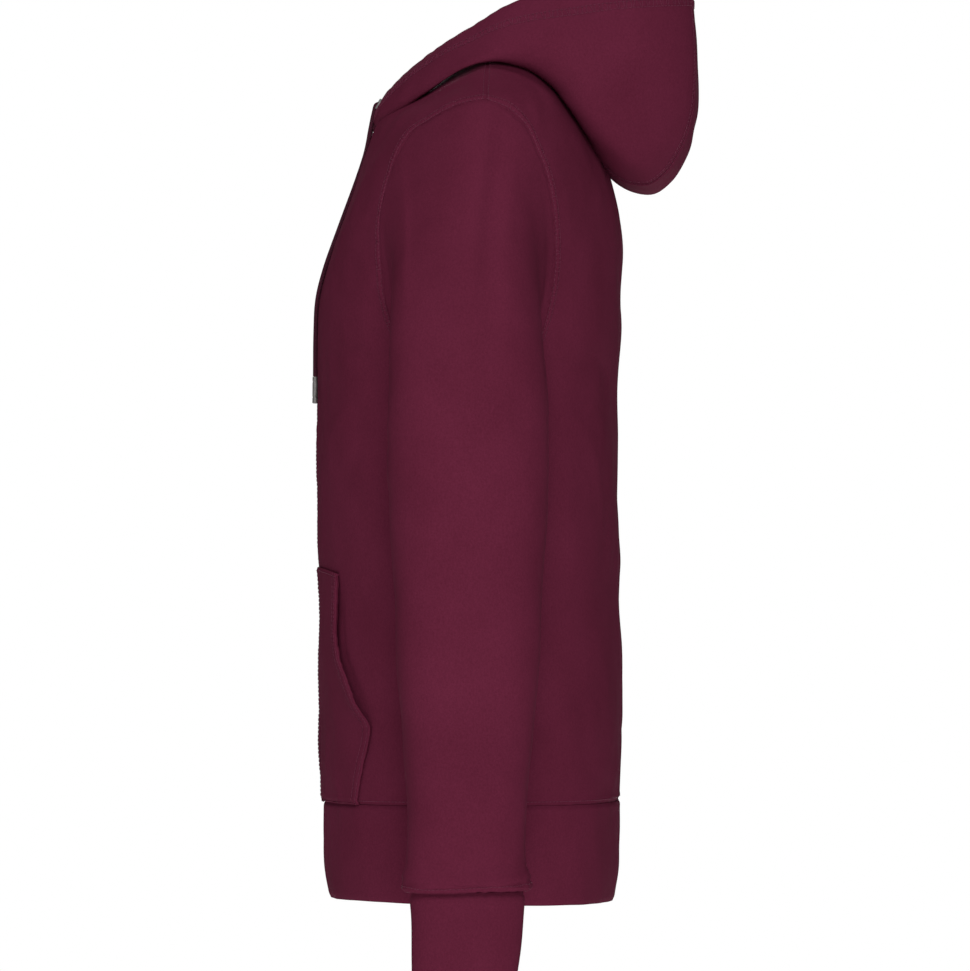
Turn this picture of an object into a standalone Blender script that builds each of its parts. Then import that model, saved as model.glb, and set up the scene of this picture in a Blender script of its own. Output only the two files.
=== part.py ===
"""A zip-up hooded sweatshirt, holding the shape of a general figure with nobody in it.

The origin is the middle of the neck at the height of the shoulder seams' inner ends.
+Z is up, the wearer faces -Y and the wearer's left is +X. Tables are in millimetres.
"""
import math

import bmesh
import bpy
from mathutils import Matrix, Vector

MM = 0.001

# ---- driving dimensions, in millimetres -------------------------------------------------
CLOTH = 2.0                # wall of the brushed fleece
BAND = 2.6                 # wall of the doubled hem band and cuffs
BAND_PROUD = 0.6           # how far a band stands out from the panel above it
SEAM = 0.4                 # gap between two pieces at a seam
LAY = 0.3                  # gap between a piece and the panel it lies on
SLEEVE_START = 0.35        # from the armhole's line to the sleeve's edge
SEAM_ALLOWANCE = 3.0       # the flat margin along a seam

NECK_HALF_WIDTH = 80.0
NECK_FRONT = 86.0          # neck seam's depth ahead of the origin and behind it
NECK_BACK = 53.0
NECK_FRONT_Z = -68.0
NECK_BACK_Z = -14.0
SHOULDER_Z = -54.5         # outer end of the shoulder seam
UNDERARM_Z = -286.0
CHEST_INNER_Z = -248.0     # where the cloth row that ends at the underarm meets the centre line
HEM_SEAM_Z = -607.0
HEM_BOTTOM_Z = -685.0
HEM_DIP = 1.8              # how far the hem hangs lower behind than at the sides, and higher in front

ZIP_HALF_GAP = 5.0         # from the centre line to the front's edge
TAPE_EDGE = 0.3            # from the centre line to the tape's inner edge
TAPE_WIDTH = 14.0
TAPE_THICK = 1.0
TAPE_TOP_SHARE = 0.93      # of its last row, so that it ends just below the neck seam
ZIP_BOTTOM_Z = -682.0
TEETH_WIDTH = 3.0
TEETH_THICK = 2.6
TEETH_CHAMFER = 0.4
TAPE_OUT = -(CLOTH + LAY)  # the tape's outer face lies behind the front

POCKET_THICK = 1.8
POCKET_INNER_X = 9.0
POCKET_TOP_Z = -421.0
POCKET_BOTTOM_Z = -606.6
CUTTER_FRONT_Y = -160.0    # the prism that gives the pocket its outline
CUTTER_DEPTH = 110.0

SLIDER_Z = -79.5           # middle of the slider
SLIDER_SIZE = (8.0, 11.0, 2.0)
SLIDER_TOP = 0.8           # its outer face, from the front's outer face
BAIL_LENGTH = 7.5
BAIL_WIDTH = 1.8
BAIL_WIRE = 1.3
BAIL_TOP = 4.6
BAIL_CORNER = 1.6
BAIL_HOLE_CORNER = 0.6
BAIL_ROOT = 1.0            # how far below the plate's face its feet start
BAIL_HOLE_ROOT = 0.4
METAL_BEVEL = 0.5
PIVOT_OUT = 2.1            # the pull tab's axis, from the front's outer face
PULL_WIDTH = 6.6
PULL_THICK = 1.1
PULL_BAR = 1.1
PULL_WINDOW = 3.0
PULL_WINDOW_END = 5.2
PULL_LENGTH = 22.0
PULL_CORNER = 2.2
PULL_WINDOW_CORNER = 0.5
PULL_LEAN = 2.0            # degrees that the tab leans in to the teeth at rest
BOX_SIZE = (8.8, 11.0, 2.0)

CORD_DIAMETER = 3.6
CORD_FINE_POINTS = 190     # points read from the smooth route, before most are left out
CORD_BEND_POINTS = 16      # those in the bend at the eyelet, where fewer are left out
CORD_START = 0.5           # from the hood's cloth to the cord's end inside the eyelet
CORD_OUT = 3.2             # how far it runs straight out of the eyelet
CORD_TURN_OUT = 5.6        # where it turns down, from the cloth and below the eyelet's axis
CORD_TURN_DROP = 1.8
TIP_DIAMETER = 4.2
TIP_LENGTH = 21.0
EYELET_TURN = 15.0         # where the eyelet sits on the hood
EYELET_SHARE = 0.62
EYELET_RADIUS = 3.7
EYELET_WIRE = 0.95
EYELET_CLEAR = 0.5

# ---- how finely each piece is divided ---------------------------------------------------
FRONT_COLUMNS = 9
SIDE_ROWS = 8
CHEST_ROWS = 8
FRONT_NECK_ROWS = 6
BACK_NECK_ROWS = 6
SLEEVE_SIDES = 28          # as many as the armhole has rows, so that their corners meet
SHOULDER_MARGIN = 0.05     # share of a row kept as the flat margin along the shoulder seam
ZIP_MARGIN = 0.05          # share of a panel's width kept as the margin along the zip
ARMHOLE_MARGIN = 0.03      # share kept along the side seam and the armhole
SLEEVE_ARRIVAL = 1.05      # how strongly the cap's curves run in to the first level ring
SLEEVE_CAP_RINGS = 7
HOOD_LIE_COLUMNS = 3
HOOD_WALL_COLUMNS = 8
HEM_COLUMNS = 45
POCKET_ROWS = 7            # the front's rows that the pocket is cut from
POCKET_EDGE_POINTS = 17
HEM_HEIGHTS = (HEM_BOTTOM_Z, -665.0, -636.0, HEM_SEAM_Z - SEAM / 2)


class Table:
    """Named columns over a rising first column, joined by curves that don't overshoot."""

    def __init__(self, columns, rows):
        self.names = columns
        self.columns = {name: [row[i] for row in rows] for i, name in enumerate(columns)}
        self.keys = self.columns[columns[0]]

    def slope(self, name, i):
        values = self.columns[name]
        if i == 0 or i == len(values) - 1:
            j = min(i, len(values) - 2)
            return (values[j + 1] - values[j]) / (self.keys[j + 1] - self.keys[j])
        before = (values[i] - values[i - 1]) / (self.keys[i] - self.keys[i - 1])
        after = (values[i + 1] - values[i]) / (self.keys[i + 1] - self.keys[i])
        if before * after <= 0:
            return 0.0
        return 2 * before * after / (before + after)

    def at(self, key, name):
        key = min(max(key, self.keys[0]), self.keys[-1])
        i = 0
        while i < len(self.keys) - 2 and key > self.keys[i + 1]:
            i += 1
        span = self.keys[i + 1] - self.keys[i]
        t = (key - self.keys[i]) / span
        a = self.columns[name][i]
        b = self.columns[name][i + 1]
        rise_a = self.slope(name, i) * span
        rise_b = self.slope(name, i + 1) * span
        near = (1 + 2 * t) * (1 - t) ** 2
        return a * near + rise_a * t * (1 - t) ** 2 + b * (1 - near) + rise_b * t * t * (t - 1)


# The body's level sections. front, back and side are Y of the centre front, the centre back
# and the side seam; the powers say how square each half of the section is (2 is an ellipse).
BODY = Table(
    ("z", "front", "back", "side", "half_width", "front_power", "back_power"),
    [
        (-685.0, -125.0, 100.0, -12.0, 187.0, 2.5, 2.5),
        (-665.0, -128.0, 103.0, -12.0, 191.0, 2.5, 2.5),
        (-640.0, -129.5, 104.0, -12.0, 194.0, 2.5, 2.5),
        (-607.0, -130.0, 105.0, -12.0, 196.5, 2.5, 2.5),
        (-560.0, -131.5, 106.8, -12.0, 199.0, 2.4, 2.4),
        (-480.0, -132.4, 106.4, -12.0, 201.0, 2.4, 2.4),
        (-430.0, -133.2, 104.6, -12.0, 202.0, 2.4, 2.4),
        (-380.0, -135.4, 103.2, -12.0, 202.0, 2.4, 2.4),
        (-330.0, -135.8, 103.2, -12.0, 201.0, 2.4, 2.4),
        (-286.0, -135.8, 104.0, -12.0, 197.0, 2.4, 2.4),
        (-240.0, -135.4, 105.8, -11.0, 199.0, 2.4, 2.4),
        (-208.0, -133.6, 107.4, -10.0, 203.0, 2.35, 2.3),
        (-182.0, -127.4, 107.8, -9.0, 208.0, 2.3, 2.2),
        (-150.0, -116.0, 105.8, -7.5, 218.0, 2.4, 2.1),
        (-125.0, -106.5, 101.2, -6.0, 224.0, 2.35, 2.05),
        (-101.0, -98.5, 93.5, -5.0, 224.0, 2.2, 2.0),
        (-80.0, -91.4, 88.0, -3.5, 216.0, 2.0, 1.9),
        (-68.0, -86.0, 84.0, -2.5, 208.0, 1.95, 1.85),
        (-54.5, -68.5, 78.0, -1.5, 200.0, 1.95, 1.8),
        (-42.0, -51.0, 71.5, -1.2, 172.5, 2.0, 1.8),
        (-25.0, -33.0, 61.5, -0.7, 135.0, 2.0, 1.8),
        (-14.0, -23.0, 53.0, -0.4, 110.8, 2.0, 1.8),
        (-6.0, -16.5, 38.0, 0.0, 93.2, 2.0, 1.8),
        (0.0, -12.0, 22.0, 0.0, 80.0, 2.0, 1.8),
    ],
)

# The armhole's front and back edges from the underarm to the shoulder, as (Y, Z).
ARMHOLE_FRONT = [(-12, -286), (-38, -277), (-64, -252), (-80, -217), (-84.2, -182), (-85.2, -145),
                 (-82.3, -125), (-76.4, -105), (-68.6, -88), (-56.8, -74), (-41.2, -66),
                 (-21.6, -57.5), (-1.5, -54.5)]
ARMHOLE_BACK = [(-12, -286), (12, -278), (35, -252), (48, -216), (52, -180), (50.9, -140.6),
                (48.9, -125), (45, -109.3), (38.1, -91.7), (29.3, -74), (17.6, -63.5), (-1.5, -54.5)]

# The sleeve's level rings below the cap. The last rows are the puff over the cuff's seam.
SLEEVE = Table(
    ("drop", "front", "back", "inner", "outer"),
    [
        (315.0, -78.6, 48.6, 208.5, 321.5),
        (360.0, -76.0, 47.0, 213.0, 323.5),
        (420.0, -73.0, 43.8, 220.0, 326.0),
        (480.0, -70.0, 40.3, 227.5, 326.5),
        (540.0, -66.5, 36.5, 235.5, 326.5),
        (600.0, -63.2, 32.2, 245.0, 325.0),
        (640.0, -61.9, 29.5, 251.0, 323.0),
        (653.0, -62.4, 29.8, 252.5, 322.0),
        (664.0, -64.8, 33.2, 250.5, 323.8),
        (670.5, -64.8, 33.5, 250.8, 323.8),
        (674.6, -59.8, 29.2, 262.2, 313.8),
    ],
)
SLEEVE_RING_DROPS = (315, 360, 415, 475, 540, 600, 638, 652, 662, 670, 674.6)
SLEEVE_POWER = 2.15

CUFF = Table(
    ("drop", "front", "back", "inner", "outer"),
    [
        (675.0, -59.6, 29.0, 262.5, 313.5),
        (690.0, -58.8, 27.6, 263.0, 313.2),
        (742.0, -57.8, 23.4, 265.0, 312.0),
    ],
)
CUFF_RING_DROPS = (675.0, 680.0, 712.0, 742.0)

# The pocket's outer edge, from the hem seam up to the top corner.
POCKET_EDGE = Table(
    ("z", "half_width"),
    [
        (-606.6, 148.5),
        (-576.0, 159.0),
        (-547.0, 167.5),
        (-531.0, 155.5),
        (-509.0, 140.0),
        (-486.0, 124.0),
        (-462.0, 117.0),
        (-425.0, 118.5),
    ],
)

# The hood's sections from the centre front round to the centre back. turn is the angle round
# the neck seam. The cloth leaves the neck, lies on the shoulder out to the rest line (an angle
# round the body and a height), swings out by reach and drop, and rises to the rim, which it
# meets from lean outside and wall below. out is the way the section faces.
HOOD = Table(
    ("turn", "rest_angle", "rest_z", "rim_x", "rim_y", "rim_z", "out", "reach", "drop", "lean", "wall"),
    [
        (4.0, 2.0, -71.0, 4.5, -82.5, -51.0, 8.0, 3.0, -3.0, 3.0, 8.0),
        (14.0, 9.0, -67.0, 15.5, -78.4, -43.0, 22.0, 5.5, -2.0, 6.5, 8.5),
        (25.0, 17.0, -61.5, 27.0, -70.2, -34.0, 40.0, 8.0, -1.0, 10.0, 9.0),
        (45.0, 34.0, -46.0, 54.0, -48.5, -14.0, 62.0, 12.0, 0.0, 22.0, 11.0),
        (65.0, 57.5, -31.0, 74.0, -31.0, -1.5, 75.0, 14.0, 0.0, 30.0, 14.0),
        (85.0, 80.0, -25.0, 89.0, -11.5, 9.5, 88.0, 16.0, 0.0, 32.0, 17.0),
        (105.0, 99.8, -23.5, 102.0, 12.0, 22.5, 95.0, 20.0, 2.0, 30.0, 21.0),
        (125.0, 119.7, -27.5, 110.0, 36.0, 31.5, 100.0, 26.0, 4.0, 27.0, 30.0),
        (140.0, 134.6, -40.5, 115.0, 63.0, 38.5, 108.0, 36.0, 10.0, 23.0, 45.0),
        (150.0, 142.8, -58.0, 115.0, 94.0, 44.5, 120.0, 42.0, 30.0, 21.0, 66.0),
        (160.0, 152.6, -79.0, 102.0, 132.0, 49.0, 140.0, 50.0, 53.0, 20.0, 94.0),
        (170.0, 164.8, -98.6, 66.0, 160.0, 51.0, 165.0, 56.0, 61.0, 20.0, 113.0),
        (180.0, 180.0, -106.0, 0.0, 162.5, 51.0, 180.0, 57.0, 60.0, 20.0, 116.0),
    ],
)
HOOD_SIDE_TURNS = (4, 11, 18, 25, 35, 45, 55, 65, 74, 82, 90, 98, 107, 117, 126, 134, 141, 147, 153,
                   159, 165, 169, 170)
HOOD_CENTRE_TURNS = (170, 171, 174, 177, 180)
HOOD_LIFT = 1.0            # the hood's clearance above the shoulder
HOOD_ROLL = 3.0            # how far it rises over the neck seam

# The cord from its eyelet down the front, as (X, Z, gap ahead of the front).
CORD_ROUTE = [(21.0, -66.0, 10.2), (21.0, -74.0, 5.6), (21.6, -90.0, 2.7), (21.4, -112.0, 2.4),
              (21.0, -150.0, 2.4), (21.6, -185.0, 2.6), (22.0, -208.0, 2.8), (22.4, -235.0, 2.6),
              (22.6, -269.0, 2.5)]


# ---- the worn form ----------------------------------------------------------------------
def power_part(value, power):
    """A sine or cosine raised to 2 / power, keeping its sign."""
    return math.copysign(abs(value) ** (2.0 / power), value)


def bare_skin(angle, z):
    """A point of the form: angle 0 is the centre front, pi/2 the left side, pi the back."""
    front_half = math.cos(angle) >= 0
    power = BODY.at(z, "front_power" if front_half else "back_power")
    side = BODY.at(z, "side")
    depth = side - BODY.at(z, "front") if front_half else BODY.at(z, "back") - side
    x = BODY.at(z, "half_width") * power_part(math.sin(angle), power)
    y = side - depth * power_part(math.cos(angle), power)
    return Vector((x, y, z))


def skin_normal(angle, z):
    """The outward normal, from nearby points of the form."""
    small_turn = 0.02
    small_rise = 1.5
    high = min(z + small_rise, 0.0)
    low = max(z - small_rise, HEM_BOTTOM_Z)
    across = bare_skin(angle + small_turn, z) - bare_skin(angle - small_turn, z)
    up = bare_skin(angle, high) - bare_skin(angle, low)
    return across.cross(up).normalized()


def skin(angle, z, out=0.0):
    point = bare_skin(angle, z)
    if out:
        point = point + skin_normal(angle, z) * out
    return point


def angle_at_x(x, z):
    """The angle at which the front crosses a given X."""
    share = min(abs(x) / BODY.at(z, "half_width"), 1.0)
    angle = math.asin(share ** (BODY.at(z, "front_power") / 2.0))
    return math.copysign(angle, x)


def angle_at_y(y, z):
    """The left side's angle at which the form has a given Y."""
    side = BODY.at(z, "side")
    if y <= side:
        share = min((side - y) / (side - BODY.at(z, "front")), 1.0)
        return math.acos(share ** (BODY.at(z, "front_power") / 2.0))
    share = min((y - side) / (BODY.at(z, "back") - side), 1.0)
    return math.pi - math.acos(share ** (BODY.at(z, "back_power") / 2.0))


def neck_seam(turn):
    """The neck seam at an angle round it: an oval in plan, dropped onto the form."""
    x = NECK_HALF_WIDTH * math.sin(turn)
    y = -math.cos(turn) * (NECK_FRONT if math.cos(turn) > 0 else NECK_BACK)
    if x > NECK_HALF_WIDTH - 0.001:
        return math.pi / 2, 0.0
    if abs(x) < 0.001:
        return (0.0, NECK_FRONT_Z) if y < 0 else (math.pi, NECK_BACK_Z)
    low, high = -90.0, 0.0
    for _ in range(40):
        middle = (low + high) / 2
        side = BODY.at(middle, "side")
        ahead = y < side
        power = BODY.at(middle, "front_power" if ahead else "back_power")
        depth = side - BODY.at(middle, "front") if ahead else BODY.at(middle, "back") - side
        reach = (x / BODY.at(middle, "half_width")) ** power + (abs(y - side) / depth) ** power
        if reach > 1:
            high = middle
        else:
            low = middle
    return angle_at_y(y, low), low


# ---- curves and grids of points ---------------------------------------------------------
def smooth_path(points, count):
    """count points, evenly spaced, on a smooth curve through the given ones."""
    points = [Vector(point) for point in points]
    ends = [points[0] * 2 - points[1]] + points + [points[-1] * 2 - points[-2]]
    fine = []
    for i in range(1, len(ends) - 2):
        before, start, stop, after = ends[i - 1:i + 3]
        knots = [0.0]
        for a, b in ((before, start), (start, stop), (stop, after)):
            knots.append(knots[-1] + math.sqrt((b - a).length))
        for step in range(16):
            t = knots[1] + (knots[2] - knots[1]) * step / 16
            a1 = before.lerp(start, (t - knots[0]) / (knots[1] - knots[0]))
            a2 = start.lerp(stop, (t - knots[1]) / (knots[2] - knots[1]))
            a3 = stop.lerp(after, (t - knots[2]) / (knots[3] - knots[2]))
            b1 = a1.lerp(a2, (t - knots[0]) / (knots[2] - knots[0]))
            b2 = a2.lerp(a3, (t - knots[1]) / (knots[3] - knots[1]))
            fine.append(b1.lerp(b2, (t - knots[1]) / (knots[2] - knots[1])))
    fine.append(points[-1])
    return even_path(fine, count)


def even_path(points, count):
    """count points, evenly spaced, along straight runs between the given ones."""
    lengths = [0.0]
    for a, b in zip(points, points[1:]):
        lengths.append(lengths[-1] + (b - a).length)
    result = []
    i = 0
    for step in range(count):
        want = lengths[-1] * step / (count - 1)
        while i < len(points) - 2 and want > lengths[i + 1]:
            i += 1
        share = (want - lengths[i]) / (lengths[i + 1] - lengths[i])
        result.append(points[i].lerp(points[i + 1], share))
    return result


def spread(count, start, stop):
    return [start + (stop - start) * i / (count - 1) for i in range(count)]


def margin_shares(count, first, last):
    """Shares from 0 to 1 with a narrow margin of the given share at either end."""
    shares = spread(count, first, 1.0 - last)
    return ([0.0] if first else []) + shares + ([1.0] if last else [])


def pull_in(rows, sides, distance):
    """Moves the grid's named outer edges in by a distance, for a seam's gap."""
    def inward(edge, inner):
        for point, neighbour in zip(edge, inner):
            point += (neighbour - point).normalized() * distance

    if "first" in sides:
        inward(rows[0], [point.copy() for point in rows[1]])
    if "last" in sides:
        inward(rows[-1], [point.copy() for point in rows[-2]])
    for row in rows:
        if "start" in sides:
            inward(row[:1], [row[1].copy()])
        if "end" in sides:
            inward(row[-1:], [row[-2].copy()])
    return rows


# ---- objects ----------------------------------------------------------------------------
def clear_scene():
    for item in list(bpy.data.objects):
        bpy.data.objects.remove(item, do_unlink=True)


def new_material(name, colour, roughness, metallic=0.0):
    material = bpy.data.materials.new(name)
    material.use_nodes = True
    shader = material.node_tree.nodes["Principled BSDF"]
    shader.inputs["Base Color"].default_value = (*colour, 1.0)
    shader.inputs["Roughness"].default_value = roughness
    shader.inputs["Metallic"].default_value = metallic
    material.diffuse_color = (*colour, 1.0)
    return material


def add_object(collection, name, mesh, material):
    item = bpy.data.objects.new(name, mesh)
    collection.objects.link(item)
    item.data.materials.append(material)
    return item


def grid_mesh(name, rows, ring, flip):
    """A sheet of four-sided faces over rows of points given in millimetres."""
    work = bmesh.new()
    corners = [[work.verts.new(point * MM) for point in row] for row in rows]
    width = len(rows[0])
    for low, high in zip(corners, corners[1:]):
        for i in range(width if ring else width - 1):
            j = (i + 1) % width
            face = (low[i], low[j], high[j], high[i])
            work.faces.new(face[::-1] if flip else face)
    mesh = bpy.data.meshes.new(name)
    work.to_mesh(mesh)
    work.free()
    mesh.shade_smooth()
    return mesh


def cloth_piece(collection, name, rows, thick, material, ring=False, flip=False, mirrored=False,
                even=True):
    """A cloth wall whose outer face is the grid and whose thickness lies behind it."""
    item = add_object(collection, name, grid_mesh(name, rows, ring, flip), material)
    if mirrored:
        mirror = item.modifiers.new("other_half", "MIRROR")
        mirror.use_axis = (True, False, False)
        mirror.use_clip = True
        mirror.merge_threshold = 0.00005
    wall = item.modifiers.new("wall", "SOLIDIFY")
    wall.thickness = thick * MM
    wall.offset = -1.0
    wall.use_even_offset = even
    return item


def other_side(rows):
    return [[Vector((-point.x, point.y, point.z)) for point in row] for row in rows]


# ---- the body's panels ------------------------------------------------------------------
def armhole(points, count):
    """An edge of the armhole as (angle, height) pairs from the underarm to the shoulder."""
    pairs = []
    for y, z in smooth_path([(y, z) for y, z in points], count):
        pairs.append((angle_at_y(y, z), z))
    pairs[0] = (math.pi / 2, UNDERARM_Z)
    pairs[-1] = (math.pi / 2, SHOULDER_Z)
    return pairs


def panel_rows(inner, outer, shares):
    """Rows of points on the form between two lists of (angle, height)."""
    rows = []
    for (angle_in, z_in), (angle_out, z_out) in zip(inner, outer):
        row = []
        for share in shares:
            angle = angle_in + (angle_out - angle_in) * share
            row.append(skin(angle, z_in + (z_out - z_in) * share))
        rows.append(row)
    return rows


def with_margin_row(pairs, share):
    """Adds a pair just short of the last one, for a narrow row of faces along that edge."""
    (angle_a, z_a), (angle_b, z_b) = pairs[-2:]
    margin = (angle_b + (angle_a - angle_b) * share, z_b + (z_a - z_b) * share)
    return pairs[:-1] + [margin, pairs[-1]]


def side_and_armhole(points, neck_rows):
    side = [(math.pi / 2, z) for z in spread(SIDE_ROWS + 1, HEM_SEAM_Z, UNDERARM_Z)]
    return side + armhole(points, CHEST_ROWS + neck_rows + 1)[1:]


def centre_heights(neck_z):
    """The heights at which a panel's rows start on the centre line."""
    below = spread(SIDE_ROWS + 1, HEM_SEAM_Z, CHEST_INNER_Z)
    return below + spread(CHEST_ROWS + 1, CHEST_INNER_Z, neck_z)[1:]


def front_rows():
    outer = side_and_armhole(ARMHOLE_FRONT, FRONT_NECK_ROWS)
    heights = centre_heights(NECK_FRONT_Z)
    inner = [(angle_at_x(ZIP_HALF_GAP, z), z) for z in heights]
    first_turn = math.asin(ZIP_HALF_GAP / NECK_HALF_WIDTH)
    inner += [neck_seam(turn) for turn in spread(FRONT_NECK_ROWS + 1, first_turn, math.pi / 2)[1:]]
    inner = with_margin_row(inner, SHOULDER_MARGIN)
    outer = with_margin_row(outer, SHOULDER_MARGIN)
    rows = panel_rows(inner, outer, margin_shares(FRONT_COLUMNS, ZIP_MARGIN, ARMHOLE_MARGIN))
    return pull_in(rows, ("first", "last", "end"), SEAM / 2)


def back_rows():
    outer = side_and_armhole(ARMHOLE_BACK, BACK_NECK_ROWS)
    inner = [(math.pi, z) for z in centre_heights(NECK_BACK_Z)]
    inner += [neck_seam(turn) for turn in spread(BACK_NECK_ROWS + 1, math.pi, math.pi / 2)[1:]]
    inner = with_margin_row(inner, SHOULDER_MARGIN)
    outer = with_margin_row(outer, SHOULDER_MARGIN)
    rows = panel_rows(inner, outer, margin_shares(FRONT_COLUMNS, 0.0, ARMHOLE_MARGIN))
    return pull_in(rows, ("first", "last", "end"), SEAM / 2)


def add_body(collection, cloth):
    rows = front_rows()
    cloth_piece(collection, "front_left", rows, CLOTH, cloth["front_left"])
    cloth_piece(collection, "front_right", other_side(rows), CLOTH, cloth["front_right"], flip=True)
    cloth_piece(collection, "back", back_rows(), CLOTH, cloth["back"], flip=True, mirrored=True)


def add_hem_band(collection, cloth):
    """One strip from the zip's left edge round the back to its right edge."""
    rows = []
    for z in HEM_HEIGHTS:
        start = angle_at_x(ZIP_HALF_GAP, z)
        turns = spread(HEM_COLUMNS, start, 2 * math.pi - start)
        dip = HEM_DIP if z == HEM_BOTTOM_Z else 0.0
        rows.append([skin(turn, z + dip * math.cos(turn), BAND_PROUD) for turn in turns])
    cloth_piece(collection, "hem_band", rows, BAND, cloth["hem_band"])


# ---- sleeves ----------------------------------------------------------------------------
def level_ring(table, drop, sides, power):
    """A level ring of the sleeve, from its inner point round by the front."""
    middle_x = (table.at(drop, "inner") + table.at(drop, "outer")) / 2
    middle_y = (table.at(drop, "front") + table.at(drop, "back")) / 2
    half_x = (table.at(drop, "outer") - table.at(drop, "inner")) / 2
    half_y = (table.at(drop, "back") - table.at(drop, "front")) / 2
    ring = []
    for i in range(sides):
        turn = 2 * math.pi * i / sides
        x = middle_x - half_x * power_part(math.cos(turn), power)
        y = middle_y - half_y * power_part(math.sin(turn), power)
        ring.append(Vector((x, y, -drop)))
    return ring


def armhole_ring(sides):
    """The armhole's loop with the way its sleeve sets out from each point of it."""
    front = armhole(ARMHOLE_FRONT, sides // 2 + 1)
    back = armhole(ARMHOLE_BACK, sides // 2 + 1)
    pairs = front[:-1] + back[:0:-1]
    loop = [skin(angle, z) for angle, z in pairs]
    centre = sum(loop, Vector()) / len(loop)
    ways = []
    for i, (angle, z) in enumerate(pairs):
        along = loop[(i + 1) % sides] - loop[i - 1]
        way = skin_normal(angle, z).cross(along).normalized()
        if way.dot(centre - loop[i]) < 0:
            way = -way
        ways.append(way)
    return loop, ways


def sleeve_rows():
    loop, ways = armhole_ring(SLEEVE_SIDES)
    first = level_ring(SLEEVE, SLEEVE_RING_DROPS[0], SLEEVE_SIDES, SLEEVE_POWER)
    second = level_ring(SLEEVE, SLEEVE_RING_DROPS[1], SLEEVE_SIDES, SLEEVE_POWER)
    rows = [[point + way * SLEEVE_START for point, way in zip(loop, ways)]]
    starts = [point + way * SEAM_ALLOWANCE for point, way in zip(loop, ways)]
    rows.append(starts)
    for step in range(1, SLEEVE_CAP_RINGS + 1):
        t = step / (SLEEVE_CAP_RINGS + 1)
        row = []
        for start, way, stop, below in zip(starts, ways, first, second):
            pull = (stop - start).length
            leave = (way + (stop - start).normalized()).normalized() * pull
            arrive = (below - stop).normalized() * pull * SLEEVE_ARRIVAL
            near = (1 + 2 * t) * (1 - t) ** 2
            point = start * near + leave * (t * (1 - t) ** 2) + stop * (1 - near)
            row.append(point + arrive * (t * t * (t - 1)))
        rows.append(row)
    for drop in SLEEVE_RING_DROPS:
        rows.append(level_ring(SLEEVE, drop, SLEEVE_SIDES, SLEEVE_POWER))
    return rows


def cuff_rows():
    rows = []
    for drop in CUFF_RING_DROPS:
        rows.append(level_ring(CUFF, drop, SLEEVE_SIDES, SLEEVE_POWER))
    return rows


def add_sleeves(collection, cloth):
    sleeve = sleeve_rows()
    cuff = cuff_rows()
    for side, mirror, flip in (("left", list, True), ("right", other_side, False)):
        name = "sleeve_" + side
        cloth_piece(collection, name, mirror(sleeve), CLOTH, cloth[name], ring=True, flip=flip)
        name = "cuff_" + side
        cloth_piece(collection, name, mirror(cuff), BAND, cloth[name], ring=True, flip=flip)


# ---- pockets ----------------------------------------------------------------------------
def moved_out(rows, distance):
    """A grid of points moved along its own normals."""
    last_row = len(rows) - 1
    last = len(rows[0]) - 1
    result = []
    for i, row in enumerate(rows):
        moved = []
        for j, point in enumerate(row):
            across = row[min(j + 1, last)] - row[max(j - 1, 0)]
            up = rows[min(i + 1, last_row)][j] - rows[max(i - 1, 0)][j]
            moved.append(point + across.cross(up).normalized() * distance)
        result.append(moved)
    return result


def pocket_outline():
    """The pocket's outline seen from the front, as (X, Z), round from the lower inner corner."""
    outline = [(POCKET_INNER_X, POCKET_BOTTOM_Z)]
    for z in spread(POCKET_EDGE_POINTS, POCKET_BOTTOM_Z, POCKET_EDGE.keys[-1]):
        outline.append((POCKET_EDGE.at(z, "half_width"), z))
    outline.append((POCKET_INNER_X, POCKET_TOP_Z))
    return outline


def pocket_cutter(collection, sign):
    """A prism of the pocket's outline, to be shared with the cloth that lies in it."""
    work = bmesh.new()
    corners = [work.verts.new((sign * x * MM, CUTTER_FRONT_Y * MM, z * MM)) for x, z in pocket_outline()]
    face = work.faces.new(corners)
    swept = bmesh.ops.extrude_face_region(work, geom=[face])["geom"]
    moved = [item for item in swept if isinstance(item, bmesh.types.BMVert)]
    bmesh.ops.translate(work, verts=moved, vec=(0.0, CUTTER_DEPTH * MM, 0.0))
    bmesh.ops.recalc_face_normals(work, faces=work.faces[:])
    mesh = bpy.data.meshes.new("pocket_shape")
    work.to_mesh(mesh)
    work.free()
    cutter = bpy.data.objects.new("pocket_shape_cutter", mesh)
    cutter.hide_render = True
    cutter.display_type = "WIRE"
    collection.objects.link(cutter)
    return cutter


def add_pockets(collection, cutters, cloth):
    rows = moved_out(front_rows()[:POCKET_ROWS], LAY + POCKET_THICK)
    for name, points, sign in (("pocket_left", rows, 1), ("pocket_right", other_side(rows), -1)):
        item = cloth_piece(collection, name, points, POCKET_THICK, cloth[name], flip=sign < 0)
        share = item.modifiers.new("outline", "BOOLEAN")
        share.operation = "INTERSECT"
        share.object = pocket_cutter(cutters, sign)


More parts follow.
